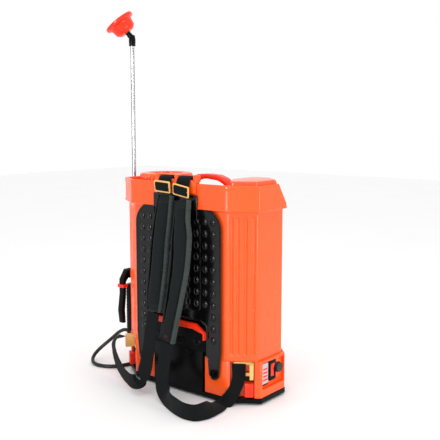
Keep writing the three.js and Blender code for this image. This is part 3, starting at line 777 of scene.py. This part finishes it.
def strap_frames(stations, steps):
    """Frames along a strap: middle, side, normal, width and direction.

    Its stations are (x, y, z, across x, across y, across z, width).
    """
    centre = [Vector(s[:3]) for s in stations]
    across = [Vector(s[3:6]) for s in stations]
    widths = [Vector((s[6], 0, 0)) for s in stations]
    frames = []
    for i in range(steps + 1):
        t = i / steps
        middle = spline(centre, t)
        along = (spline(centre, min(t + 0.002, 1)) - spline(centre, max(t - 0.002, 0))).normalized()
        side = spline(across, t)
        side = (side - along * side.dot(along)).normalized()
        frames.append((middle, side, along.cross(side), spline(widths, t).x, along))
    return frames


def distances_along(frames):
    """How far along a strap each of its frames is."""
    distances = [0]
    for before, here in zip(frames, frames[1:]):
        distances.append(distances[-1] + (here[0] - before[0]).length)
    return distances


def ribbon(name, frames, thickness, ripple=0.0, columns=12):
    """A woven strap: a thin band with round selvedges, slightly rippled, its weave laid along it."""
    rings, distances = [], distances_along(frames)
    for travelled, (middle, side, normal, width, _) in zip(distances, frames):
        wave = ripple * math.sin(travelled / 11) * math.sin(travelled / 37 + 1)
        ring = []
        for face in (1, -1):
            for k in range(columns + 1):
                u = (2 * k / columns - 1) * face
                edge = 1 - abs(u) ** 8
                lift = face * thickness / 2 * (0.35 + 0.65 * edge) + wave * (1 - u * u)
                ring.append(middle + side * u * width / 2 + normal * lift)
        rings.append(ring)
    obj = loft(name, rings, smooth_angle=60)
    count = len(rings[0])
    layer = obj.data.uv_layers.new(name="weave")
    for loop in obj.data.loops:
        ring, k = divmod(loop.vertex_index, count)
        u = k / columns if k <= columns else 1 - (k - columns - 1) / columns
        layer.data[loop.index].uv = (u * frames[ring][3] * MM, distances[ring] * MM)
    return obj


def stitches(name, places, length, radius=0.35):
    """A row of short raised threads: places are (point, direction, normal)."""
    points, faces = [], []
    for point, direction, normal in places:
        side = direction.cross(normal).normalized()
        base = len(points)
        for t, r in ((-0.5, 0.3), (-0.3, 1), (0.3, 1), (0.5, 0.3)):
            for k in range(6):
                angle = TWO_PI * k / 6
                offset = side * math.cos(angle) + normal * math.sin(angle)
                points.append(point + direction * t * length + offset * radius * r)
        for ring in range(3):
            for k in range(6):
                a, b = base + ring * 6 + k, base + ring * 6 + (k + 1) % 6
                faces.append((a, b, b + 6, a + 6))
        faces.append(tuple(base + k for k in range(6))[::-1])
        faces.append(tuple(base + 18 + k for k in range(6)))
    return mesh_object(name, points, faces, 80)


STRAP_WIDTH, WEBBING_THICKNESS = 38, 1.9
PADS = {
    "left": [(-16, -107, 450, 40), (-16, -118, 400, 48), (-17, -128, 340, 51), (-18, -133, 290, 51),
             (-21, -139, 232, 49), (-23, -142, 192, 42)],
    "right": [(33, -107.5, 442, 40), (38, -118, 398, 42), (44, -126, 358, 52), (44, -133, 297, 50),
              (37, -139, 238, 46), (27, -144, 176, 41), (19, -147, 132, 40)],
}
SLACK = {
    "left": [(-24, -144, 189.6, 1, 0, 0), (-28, -149, 150, 1, 0, 0), (-32, -153, 105, 1, 0, 0),
             (-39, -157, 62, 0.9, 0.1, 0.2), (-54, -159, 33, 0.7, -0.1, 0.7),
             (-82, -155, 22, 0.3, -0.2, 0.93), (-112, -145, 24, 0.2, -0.2, 0.95),
             (-142, -132, 31, 0.35, -0.2, 0.9), (-172, -118, 44, 0.6, -0.3, 0.7),
             (-197, -103, 64, 0.7, -0.4, 0.5), (-208, -88, 80, 0.8, -0.4, 0.3),
             (-203, -69, 88, 0.8, -0.55, 0)],
    "right": [(18, -148, 129.6, 1, 0, 0), (15, -151, 95, 1, 0, 0), (13, -156, 60, 1, 0, 0.1),
              (18, -163, 36, 0.8, 0.2, 0.5), (34, -170, 22, 0.4, 0.3, 0.85), (60, -186, 19, 0.1, 0.1, 1),
              (88, -198, 19, 0, 0.1, 1), (120, -206, 19, 0, 0, 1), (144, -201, 19, 0, 0, 1),
              (153, -178, 19, -0.3, 0, 0.9), (148, -150, 15, -0.7, 0, 0.6), (140, -121, 8, -1, 0, 0.25),
              (134, -103, 6, -1, 0, 0.1, 34), (143, -93, 12, -0.93, -0.4, 0.1, 32),
              (150, -86, 24, -0.83, -0.56, 0, 30), (154.5, -78.8, 38, -0.83, -0.56, 0, 27),
              (158, -72.4, 58, -0.83, -0.56, 0, 28), (158.3, -71.6, 92, -0.83, -0.56, 0, 30)],
}
UPPER_X = {"left": -25, "right": 29}
BAR_Y, BAR_Z, BAR_RADIUS = -87, 486, 3
BUCKLES = {"left": (-25, 466.5, math.radians(3)), "right": (29, 460.5, math.radians(9))}
BUCKLE_LEAN = math.radians(10)
BUCKLE_LOOP = [(-109, 9), (-112, 8.4), (-113, 5), (-113, 0), (-113, -5), (-112, -8.4), (-109, -9)]
PAD_SIM = {"voxel": 5, "pressure": 4, "frames": 20, "cap": 4}


def upper_stations(x):
    reach = BAR_RADIUS + 0.5 + 1.2
    around = [math.radians(a) for a in (-30, 0, 45, 90, 125)]
    path = [(BAR_Y + reach * math.cos(a), BAR_Z + reach * math.sin(a)) for a in around]
    path += [(-96.5, 487.3), (-101.5, 481), (-104.5, 470), (-105.8, 452.6)]
    return [(x, y, z, 1, 0, 0, STRAP_WIDTH) for y, z in path]


def pad_core(name, frames, thickness, shrink):
    """The foam pad: crowned on both faces, drawn in at its sides and closed round at its ends."""
    rings = []
    last = len(frames) - 1
    for i, (middle, side, normal, width, _) in enumerate(frames):
        end = min(i, last - i)
        close = math.sqrt(1 - (1 - min(1, (end + 0.35) / 3)) ** 2)
        half = (width / 2 - shrink) * (0.75 + 0.25 * close)
        ring = []
        for k in range(32):
            angle = TWO_PI * k / 32
            c, s = math.cos(angle), math.sin(angle)
            across = half * math.copysign(abs(c) ** 0.55, c)
            lift = thickness / 2 * close * math.copysign(abs(s) ** 0.8, s)
            ring.append(middle + side * across + normal * lift)
        rings.append(ring)
    return loft(name, rings, smooth_angle=70)


def swell(obj):
    """Cloth simulation: the cover fills out under pressure, each point moving no further than the cap."""
    remesh = obj.modifiers.new("remesh", "REMESH")
    remesh.mode = "VOXEL"
    remesh.voxel_size = PAD_SIM["voxel"] * MM
    apply_modifiers(obj)
    start = [v.co.copy() for v in obj.data.vertices]
    cloth_modifier = obj.modifiers.new("cloth", "CLOTH")
    cloth_modifier.settings.use_pressure = True
    cloth_modifier.settings.uniform_pressure_force = PAD_SIM["pressure"]
    cloth_modifier.settings.effector_weights.gravity = 0
    cloth_modifier.point_cache.frame_end = PAD_SIM["frames"]
    scene = bpy.context.scene
    for number in range(1, PAD_SIM["frames"] + 1):
        scene.frame_set(number)
    apply_modifiers(obj)
    scene.frame_set(1)
    limit = PAD_SIM["cap"] * MM
    for vertex, before in zip(obj.data.vertices, start):
        move = vertex.co - before
        if move.length > limit:
            vertex.co = before + move.normalized() * limit


def subdivide(obj):
    modifier = obj.modifiers.new("subdivision", "SUBSURF")
    modifier.levels = modifier.render_levels = 1
    apply_modifiers(obj)
    shade(obj, 80)


def edge_binding(name, frames, sign, gather):
    """The tape sewn round a pad's side, gathered along its length."""
    section = [(-4.5, 6.3), (-1.5, 6.2), (0.6, 5), (1.5, 2.4), (1.7, 0), (1.5, -2.4), (0.6, -5), (-1.5, -6.2),
               (-4.5, -6.3), (-4.5, -5.4), (-1.6, -5), (-0.6, 0), (-1.6, 5), (-4.5, 5.4)]
    rings = []
    for travelled, (middle, side, normal, width, _) in zip(distances_along(frames), frames):
        pucker = gather * (math.sin(travelled / 1.35) + 0.6 * math.sin(travelled / 2.3 + 1.1))
        edge = middle + side * sign * (width / 2 - 1)
        ring = []
        for across, lift in section:
            swellings = pucker * max(0, 1 - abs(lift) / 7) if across > -1 else 0
            ring.append(edge + side * sign * (across + swellings) + normal * lift * (1 + 0.04 * pucker))
        rings.append(ring if sign > 0 else ring[::-1])
    return loft(name, rings, smooth_angle=60)


def on_surface(tree, point, direction):
    """Where a line from outside the pad first meets its cover, in millimetres, with the cover's normal."""
    start = (point + direction * 20) * MM
    hit, normal, _, _ = tree.ray_cast(start, -direction)
    return (hit / MM, normal) if hit else (point, direction)


def sewn_rows(name, pad, frames):
    """Stitches through the binding on both faces of a pad."""
    graph = bpy.context.evaluated_depsgraph_get()
    tree = BVHTree.FromObject(pad, graph)
    places = []
    for middle, side, normal, width, along in frames[4:-4:2]:
        for face in (1, -1):
            for sign in (1, -1):
                point = middle + side * sign * (width / 2 - 4.2)
                hit, _ = on_surface(tree, point, normal * face)
                lift = max((hit - point).dot(normal * face), 6.3)
                places.append((point + normal * face * lift, along, normal * face))
    return stitches(name, places, 2.4, 0.4)


def bar_tack(name, tree, centre, side, along, face, width, height):
    """A sewn box with a cross in it, where webbing is stitched to a pad."""
    corners = [(-1, -1), (1, -1), (1, 1), (-1, 1)]
    lines = [(corners[i], corners[(i + 1) % 4]) for i in range(4)]
    lines += [(corners[i], corners[i + 2]) for i in range(2)]
    places = []
    for (a, b), (c, d) in lines:
        start = centre + side * a * width / 2 + along * b * height / 2
        end = centre + side * c * width / 2 + along * d * height / 2
        count = max(2, int((end - start).length / 3))
        for k in range(count):
            point = start.lerp(end, (k + 0.5) / count)
            hit, _ = on_surface(tree, point, face)
            places.append((hit, (end - start).normalized(), face))
    return stitches(name, places, 2.2, 0.4)


def make_buckle(side_name):
    """The strap's buckle, hanging a little askew, and the webbing doubled over its middle bar."""
    x, z, roll = BUCKLES[side_name]
    buckle = eased(side_name + "_triglide", 1.1, 3)
    stations = [(x, y, z + dz, 1, 0, 0, STRAP_WIDTH) for y, dz in BUCKLE_LOOP]
    loop = ribbon(side_name + "_strap_loop", strap_frames(stations, 24), WEBBING_THICKNESS)
    centre = Matrix.Translation(Vector((x, -110, z)) * MM)
    askew = centre @ Matrix.Rotation(roll, 4, "Y") @ Matrix.Rotation(BUCKLE_LEAN, 4, "X") @ centre.inverted()
    for part in (buckle, loop):
        part.data.transform(askew)
    piece(buckle, TAN, side_name + "_triglide")
    piece(loop, WEBBING)


def make_straps():
    for side_name in ("left", "right"):
        upper_frames = strap_frames(upper_stations(UPPER_X[side_name]), 60)
        upper = ribbon(side_name + "_strap_top", upper_frames, WEBBING_THICKNESS)
        piece(upper, WEBBING, side_name + "_upper_webbing")
        make_buckle(side_name)
        stations = [(x, y, z, 1, 0, 0, width) for x, y, z, width in PADS[side_name]]
        frames = strap_frames(stations, 150)
        pad = pad_core(side_name + "_pad", frames[::3], 12, 2)
        swell(pad)
        subdivide(pad)
        piece(pad, PAD, side_name + "_shoulder_pad")
        tape_frames = strap_frames(stations, 300)[3:-3]
        for edge, sign in (("inner", -1), ("outer", 1)):
            tape = edge_binding(f"{side_name}_pad_{edge}_binding", tape_frames, sign, 0.4)
            # Painted light: the tape on the pad's +x side, its lit side, gets the lighter fabric. The tape on
            # the other side gets the pad's own dark fabric.
            piece(tape, LIT_SIDE_TAPE_FABRIC if sign > 0 else PAD)
        rows = sewn_rows(side_name + "_pad_stitching", pad, frames)
        piece(rows, THREAD)
        tree = BVHTree.FromObject(pad, bpy.context.evaluated_depsgraph_get())
        lowest = RED_THREAD if side_name == "right" else THREAD
        for place, index, color in (("top", 8, THREAD), ("bottom", -9, lowest)):
            middle, side, normal, width, along = frames[index]
            face = normal if normal.y < 0 else -normal
            size = (width * 0.55, 11) if color is THREAD else (7, 5)
            tack = bar_tack(f"{side_name}_pad_{place}_tack", tree, middle, side, along, face, *size)
            piece(tack, color)
        slack = [(*station, STRAP_WIDTH - 2)[:7] for station in SLACK[side_name]]
        lower = ribbon(side_name + "_strap_tail", strap_frames(slack, 260), WEBBING_THICKNESS, 0.35)
        piece(lower, WEBBING, side_name + "_lower_webbing")


# ---- Handle and strap anchorage ----
def make_top_fittings():
    # The carry handle takes the darker red-orange as painted shade: the orange handle is coloured like its
    # shadowed underside.
    finish("carry_handle", RED_AND_SHADED_ORANGE, 3.0)
    finish("strap_bracket", ORANGE, 1.0)
    bar = rod("bar", BAR_RADIUS, 111.4, (-54.7, BAR_Y, BAR_Z), X_AXIS, 48, 0.5)
    piece(bar, STEEL, "strap_bar")


# ---- Back pad ----
PAD_LEG = [(121, 120), (116, 62), (104, 50), (97, 62), (94, 92), (89, 100), (89, 168), (70, 178)]
PAD_OUTLINE = [(-x, z) for x, z in PAD_LEG] + PAD_LEG[::-1] + [(121, 420), (-121, 420)]
PAD_RADII = [7] * 16 + [42, 42]
BUMP_COLUMNS = (12, 35, 59, 82, 104)
BUMP_ROWS = [137 + 25.8 * i for i in range(11)]


def offset_outline(points, distance):
    """An outline with rounded corners moved inwards along its own normals."""
    result = []
    count = len(points)
    for i, (x, z) in enumerate(points):
        last, following = Vector(points[i - 1]), Vector(points[(i + 1) % count])
        tangent = (following - last).normalized()
        result.append((x + tangent.y * distance, z - tangent.x * distance))
    return result


def dome(name, x, y, z, width, height, rise):
    """A low oval bump standing on a face that looks towards -Y."""
    rings = []
    for k in range(6):
        angle = math.pi / 2 * k / 5
        scale, lift = math.cos(angle) + 0.02, math.sin(angle) * rise
        rings.append([(x + width / 2 * scale * math.cos(a), y - lift, z + height / 2 * scale * math.sin(a))
                      for a in (TWO_PI * i / 20 for i in range(20))])
    rings.insert(0, [(px, y + 1, pz) for px, _, pz in rings[0]])
    return loft(name, rings, smooth_angle=70)


def make_back_pad():
    outline = rounded(PAD_OUTLINE, PAD_RADII, 8)
    levels = [(0, -88), (0, -91.4), (0.6, -92.9), (1.8, -94), (3.2, -94.2), (4.4, -93.5), (5, -92.6)]
    rings = [[(x, y, z) for x, z in offset_outline(outline, d)] for d, y in levels]
    pad = loft("back_pad_shell", rings)
    neck_low = bevel(block("neck_low", -64, 64, -98.6, -90, 396, 420.4), 1.6, 3)
    neck_high = bevel(block("neck_high", -64, 64, -98.6, -95.3, 400, 451), 1.4, 3)
    centre = bevel(prism("centre", rounded_box(-70, 70, 196, 392, 10), -94.6, -92, "y"), 1.2)
    bumps = []
    for z in BUMP_ROWS:
        for column in BUMP_COLUMNS:
            for side in (-1, 1):
                x = side * column
                if column < 90 and z < 190:
                    continue
                base = -94.4 if column < 70 and 200 < z < 390 else -92.4
                bumps.append(dome("bump", x, base, z, 14, 17, 3.6))
    slits = []
    for side in (-1, 1):
        for offset in (-3.4, 3.4):
            x = side * 105.5 + offset
            slits.append(block("slit", x - 1.3, x + 1.3, -100, -80, 60, 71))
    for slit in slits:
        boolean(pad, slit)
    join(pad, neck_low, neck_high, centre, *bumps)
    piece(pad, GLOSS_BLACK, "back_pad")


# ---- Battery ----
def make_battery():
    finish("battery_case_lower", BLACK, 1.4)
    upper = eased("battery_case_upper", 1.4, 3)
    latch = bevel(prism("latch", rounded_box(-22, 22, 116, 130, 5), -93.6, -90, "y"), 0.8)
    spots = [dome("finger_spot", side * 58, -91.6, 126, 22, 14, 2.6) for side in (-1, 1)]
    piece(join(upper, latch, *spots), BLACK, "battery_case_upper", body="battery")
    # The battery handle takes the darker red-orange as painted shade: the orange bail is coloured as it looks
    # in shadow.
    finish("battery_handle", RED_AND_SHADED_ORANGE, 1.3)
    for node, material in (("battery_block", GREY), ("contact_block", BLACK), ("battery_lead", RUBBER)):
        keep(node, material)


# ---- Strap hooks at the base ----
def make_hooks():
    for side_name, side in (("left", -1), ("right", 1)):
        finish(side_name + "_strap_hook", TAN, 0.9)
        # The hook pegs take the darker red-orange as painted shade: the orange pegs are coloured as they look
        # in shadow.
        finish(side_name + "_hook_peg", RED_AND_SHADED_ORANGE, 1.8)
        keeper = bevel(facet_prism("keeper", side, 40, 60, 2.5, 11.6, 54, 61.5), 1)
        keeper.name = side_name + "_hook_keeper"
        piece(keeper, BLACK)


# ---- Controls ----
def knob_shape():
    rows = [(12, 0, 0), (12, 1.5, 0), (11.3, 1.9, 0.7), (10.6, 6, 0.7), (10, 6.5, 0.3), (7, 6.5, 0),
            (6.4, 6, 0), (0.3, 6, 0)]
    rings = ribbed_rings(rows, 18, 144, lambda a, b, h: (KNOB_FACE + h, KNOB_Y + a, KNOB_Z + b))
    return loft("knob", rings)


def make_controls():
    ticks = []
    for i in range(9):
        angle = math.radians(30 * i - 30)
        y, z = KNOB_Y + TICK_RING * math.cos(angle), KNOB_Z + TICK_RING * math.sin(angle)
        tick = block("tick", 192.8, 193.35, -0.35, 0.35, -1.2, 1.2)
        turn = Matrix.Rotation(angle - math.pi / 2, 4, "X")
        tick.data.transform(Matrix.Translation(Vector((0, y, z)) * MM) @ turn)
        ticks.append(tick)
    finish("control_panel", ORANGE, 0.6)
    rocker_frame = prism("rocker_frame", rounded_box(-11.8, 12.8, 45.2, 90.8, 3, 4), 193.2, 197.2, "x")
    boolean(rocker_frame, block("rocker_gap", 190, 200, -6.4, 8.4, 52, 85))
    piece(bevel(rocker_frame, 0.5), BLACK)
    display_frame = prism("display_frame", rounded_box(-39, -13, 39, 91.5, 3, 4), 193.05, 194.4, "x")
    piece(display_frame, BLACK)
    marks = join(*ticks)
    marks.name = "speed_marks"
    piece(marks, TAN)
    finish("display_window", WINDOW, 0.5)
    bars = [block("bar", 195.9, 196.25, -34, -18, 50 + 8 * i, 54 + 8 * i) for i in range(4)]
    segments = join(*bars)
    segments.name = "display_segments"
    piece(segments, RED_AND_SHADED_ORANGE)
    finish("rocker_switch", RED_AND_SHADED_ORANGE, 0.8)
    knob = knob_shape()
    stem = rod("stem", 3, 10, (184, KNOB_Y, KNOB_Z), X_AXIS)
    pointer = bevel(block("pointer", KNOB_FACE, KNOB_FACE + 7, KNOB_Y - 1.2, KNOB_Y + 1.2, 70, 78.5), 0.4)
    piece(join(knob, stem, pointer), GREY, "speed_knob", body="knob")
    finish("charging_socket", BLACK, 0.4)
    finish("socket_cap", RUBBER, 0.7)


# ---- Pump bay ----
def make_pump():
    inside = {"pump_head": BLACK, "motor_can": STEEL, "motor_rotor": COPPER, "tank_outlet": BLACK,
              "suction_hose": RUBBER, "delivery_hose": RUBBER}
    for node, material in inside.items():
        keep(node, material)
    finish("outlet_fitting", BLACK, 0.6)


# ---- Gun and lance ----
GUN_X, GUN_Y = LANCE


def ribbed_nut(name, radius, length, start, direction, bore=0.0, ribs=14):
    """A hand-tightened nut with grooves along it, on an axis."""
    turn = Vector(Z_AXIS).rotation_difference(Vector(direction).normalized())
    rows = [(bore + 0.2, 0, 0), (radius - 0.8, 0, 0), (radius, 0.9, 0.7), (radius, length - 1.6, 0.7),
            (radius - 1.4, length, 0.2), (bore + 0.2, length, 0)]
    rings = ribbed_rings(rows, ribs, ribs * 6, lambda a, b, h: Vector(start) + turn @ Vector((a, b, h)))
    nut = loft(name, rings, closed_ends=not bore)
    if bore:
        count = len(rings[0])
        with editing(nut.data) as bm:
            bm.verts.ensure_lookup_table()
            top = len(bm.verts) - count
            for k in range(count):
                n = (k + 1) % count
                bm.faces.new((bm.verts[k], bm.verts[top + k], bm.verts[top + n], bm.verts[n]))
            bmesh.ops.recalc_face_normals(bm, faces=bm.faces)
        shade(nut)
    return nut


def make_gun():
    ribs = []
    for i in range(14):
        z = 92 + 8 * i
        outline = rounded_box(GUN_X - 10.5, GUN_X + 10.5, -40.5, -11.5, 5.4, 5)
        ribs.append(bevel(prism("grip_rib", outline, z, z + 3.6), 0.7, 1))
    finish("gun_body", BLACK, 0.9, ribs)
    finish("gun_lever", BLACK, 1.1)
    pin = rod("pin", 2.5, 21, (GUN_X - 10.5, -38, 238), X_AXIS, 32)
    piece(pin, STEEL, "lever_pin")
    finish("lever_lock", RED_AND_SHADED_ORANGE, 0.7)
    cap = ribbed_nut("hose_cap", 7, 7, (GUN_X - 10.3, -28, 88), (-1, 0, 0))
    piece(cap, BLACK, "hose_nut")
    nut = ribbed_nut("lance_cap", 9, 19, (GUN_X, GUN_Y, 262.3), Z_AXIS, 5)
    piece(nut, BLACK, "lance_nut")
    profile = [(3.9, 0), (4.5, 0), (4.75, 0.3), (4.75, 539.7), (4.5, 540), (3.9, 540)]
    tube = turned("lance", profile, (GUN_X, GUN_Y, 252), Z_AXIS, 48)
    piece(tube, STEEL, "lance_tube")
    finish("lance_clip_lower", BLACK, 0.8)
    finish("lance_clip_upper", BLACK, 0.8)


NOZZLE_START = (GUN_X - 1.2, GUN_Y - 1, 806)
NOZZLE_AXIS = (-0.482, -0.388, 0.786)


def make_nozzle():
    collar_profile = [(4.95, 0), (7.2, 0), (8, 0.8), (8, 4), (7.4, 4.6), (7.4, 6), (8, 6.6), (8, 16.5),
                      (7.4, 18.5), (6.8, 24), (5, 26), (0, 26), (0, 6), (4.95, 6)]
    collar = turned("collar", collar_profile, (GUN_X, GUN_Y, 786), Z_AXIS, 48)
    arm_profile = [(0, -6), (4, -5), (6.3, -2), (6.5, 0), (6.5, 9), (5.9, 9.6), (5.9, 11), (6.5, 11.6),
                   (6.5, 13.4), (6, 14), (0, 14)]
    arm = turned("arm", arm_profile, NOZZLE_START, NOZZLE_AXIS, 48)
    piece(join(collar, arm), BLACK, "lance_elbow")
    outside = [(5.5, 15), (16, 15), (18, 15.5), (20.6, 17.4), (25, 21), (26, 24), (27.4, 32), (28.2, 37),
               (29.2, 38.6), (34, 40.4), (36.2, 41.4), (36.8, 43), (37, 47.6), (36.6, 49)]
    bowl = [(35.4, 49), (35, 48.4), (34.6, 44), (33.8, 42.6), (27.4, 40.2), (26.4, 39.4), (25.4, 33),
            (23.5, 23.4), (17, 18), (5.5, 18)]
    cup = turned("cup", outside + bowl, NOZZLE_START, NOZZLE_AXIS, 96)
    piece(cup, RED_AND_SHADED_ORANGE, "nozzle_cup", body="spray_cup")
    tip_profile = [(1, 20.5), (1, 26), (3.4, 26), (4.2, 25.4), (6.4, 23.6), (8.8, 22), (9, 21.6), (9, 18.7),
                   (8.6, 18.3), (5, 18.3), (5, 14.3), (0, 14.3), (0, 20.5)]
    tip = turned("tip", tip_profile, NOZZLE_START, NOZZLE_AXIS, 48)
    piece(tip, BRASS, "nozzle_tip")


# ---- Spray hose ----
HOSE_RUN = [
    (-226.8, -28, 88), (-234, -28, 87.6), (-245.4, -27.8, 84.1), (-262, -27.4, 74.3), (-276.8, -28.3, 62),
    (-290.9, -32.1, 49.4), (-303, -40.1, 36.8), (-310.3, -53.1, 24.8), (-308.9, -69, 14.3),
    (-297.5, -82.7, 7.6), (-279.9, -89.7, 4.9), (-260.7, -89.5, 4.6), (-242.8, -82.7, 4.6),
    (-228.4, -70, 4.6), (-218.7, -53.3, 4.6), (-213.9, -34.7, 4.6), (-212.3, -15.4, 4.6),
    (-212, 3.9, 4.6), (-212, 23.2, 4.6), (-212, 42.5, 4.6),
    (-212.7, 61.8, 4.6), (-214.5, 81, 4.6), (-218.2, 99.9, 4.6), (-223, 118.6, 4.6), (-227.6, 137.4, 4.6),
    (-230, 156.5, 4.6), (-230.3, 173, 4.6),
]
HOSE_LEAD = [
    (-146.2, 227, 26.2), (-138.7, 219.2, 26.5), (-133.5, 209.8, 26.9), (-130.9, 199.3, 27.4),
    (-130.1, 188.6, 28.8), (-130, 178.3, 32.1), (-130, 168.9, 37.4), (-130, 161, 44.8),
    (-130, 154.2, 53.2), (-130, 147.2, 61.5), (-130, 139.2, 68.8), (-130, 129.8, 74.1),
    (-130, 119.4, 76.9), (-130, 108.6, 78),
]
COIL_STEP, COIL_POINTS, COIL_RISE = 30, 28, 21.3
LYING_HEIGHT = 4.6
TIE_ANGLE, TIE_HEIGHT, TIE_WIDTH, TIE_THICKNESS = -140, 15.5, 14, 0.5


def hose_route():
    """The hose's middle line: down from the gun, wound clockwise in a coil, and up to the tank's outlet."""
    coil = []
    for k in range(COIL_POINTS + 1):
        angle = math.radians(180 - COIL_STEP * k)
        coil.append((COIL_CENTRE[0] + COIL_RADIUS * math.cos(angle),
                     COIL_CENTRE[1] + COIL_RADIUS * math.sin(angle),
                     LYING_HEIGHT + COIL_RISE * k / COIL_POINTS))
    return HOSE_RUN + coil + HOSE_LEAD


def make_hose():
    data = bpy.data.curves.new("spray_hose", "CURVE")
    data.dimensions = "3D"
    data.bevel_depth = HOSE_RADIUS * MM
    data.bevel_resolution = 6
    data.resolution_u = 8
    data.use_fill_caps = True
    route = hose_route()
    line = data.splines.new("BEZIER")
    line.bezier_points.add(len(route) - 1)
    for point, place in zip(line.bezier_points, route):
        point.co = Vector(place) * MM
        point.handle_left_type = point.handle_right_type = "AUTO"
    hose = bpy.data.objects.new("spray_hose", data)
    bpy.context.scene.collection.objects.link(hose)
    piece(hose, RUBBER, "hose_run", "hose_coil", "hose_lead")
    tie = hose_tie()
    piece(tie, WEBBING)


def hose_tie():
    """A hook-and-loop band round the turns of the coil."""
    angle = math.radians(TIE_ANGLE)
    outward = Vector((math.cos(angle), math.sin(angle), 0))
    middle = Vector((*COIL_CENTRE, TIE_HEIGHT)) + outward * COIL_RADIUS
    half_width = Vector((-outward.y, outward.x, 0)) * TIE_WIDTH / 2
    section = rounded_box(-5.3, 5.3, -14.6, 14.8, 4, 5)
    rings = []
    for a, b in section + section[:1]:
        point = middle + outward * a + Vector((0, 0, b))
        out = (point - middle).normalized() * TIE_THICKNESS
        inner_edges = [point - half_width, point + half_width]
        rings.append(inner_edges + [edge + out for edge in reversed(inner_edges)])
    obj = loft("hose_tie", rings, smooth_angle=60)
    layer = obj.data.uv_layers.new(name="weave")
    for loop in obj.data.loops:
        co = obj.data.vertices[loop.vertex_index].co
        layer.data[loop.index].uv = (co.x, co.z)
    return obj


def make_floor():
    floor = block("floor", -6000, 6000, -6000, 6000, -40, 0)
    paint = Paint("studio_floor")
    paint.color(paint.mix(paint.noise(3, 3), (0.93, 0.93, 0.93), (0.96, 0.96, 0.96)))
    paint.roughness(paint.between(paint.noise(8, 2), 0.3, 0.7, 0.55, 0.7))
    floor.data.materials.append(paint.material)


for make in (make_camera, make_studio, make_hose, tank_shell, base_skirt, base_plate, make_lid, make_straps,
             make_top_fittings, make_back_pad, make_battery, make_hooks, make_controls, make_pump, make_gun,
             make_nozzle, make_floor):
    make()
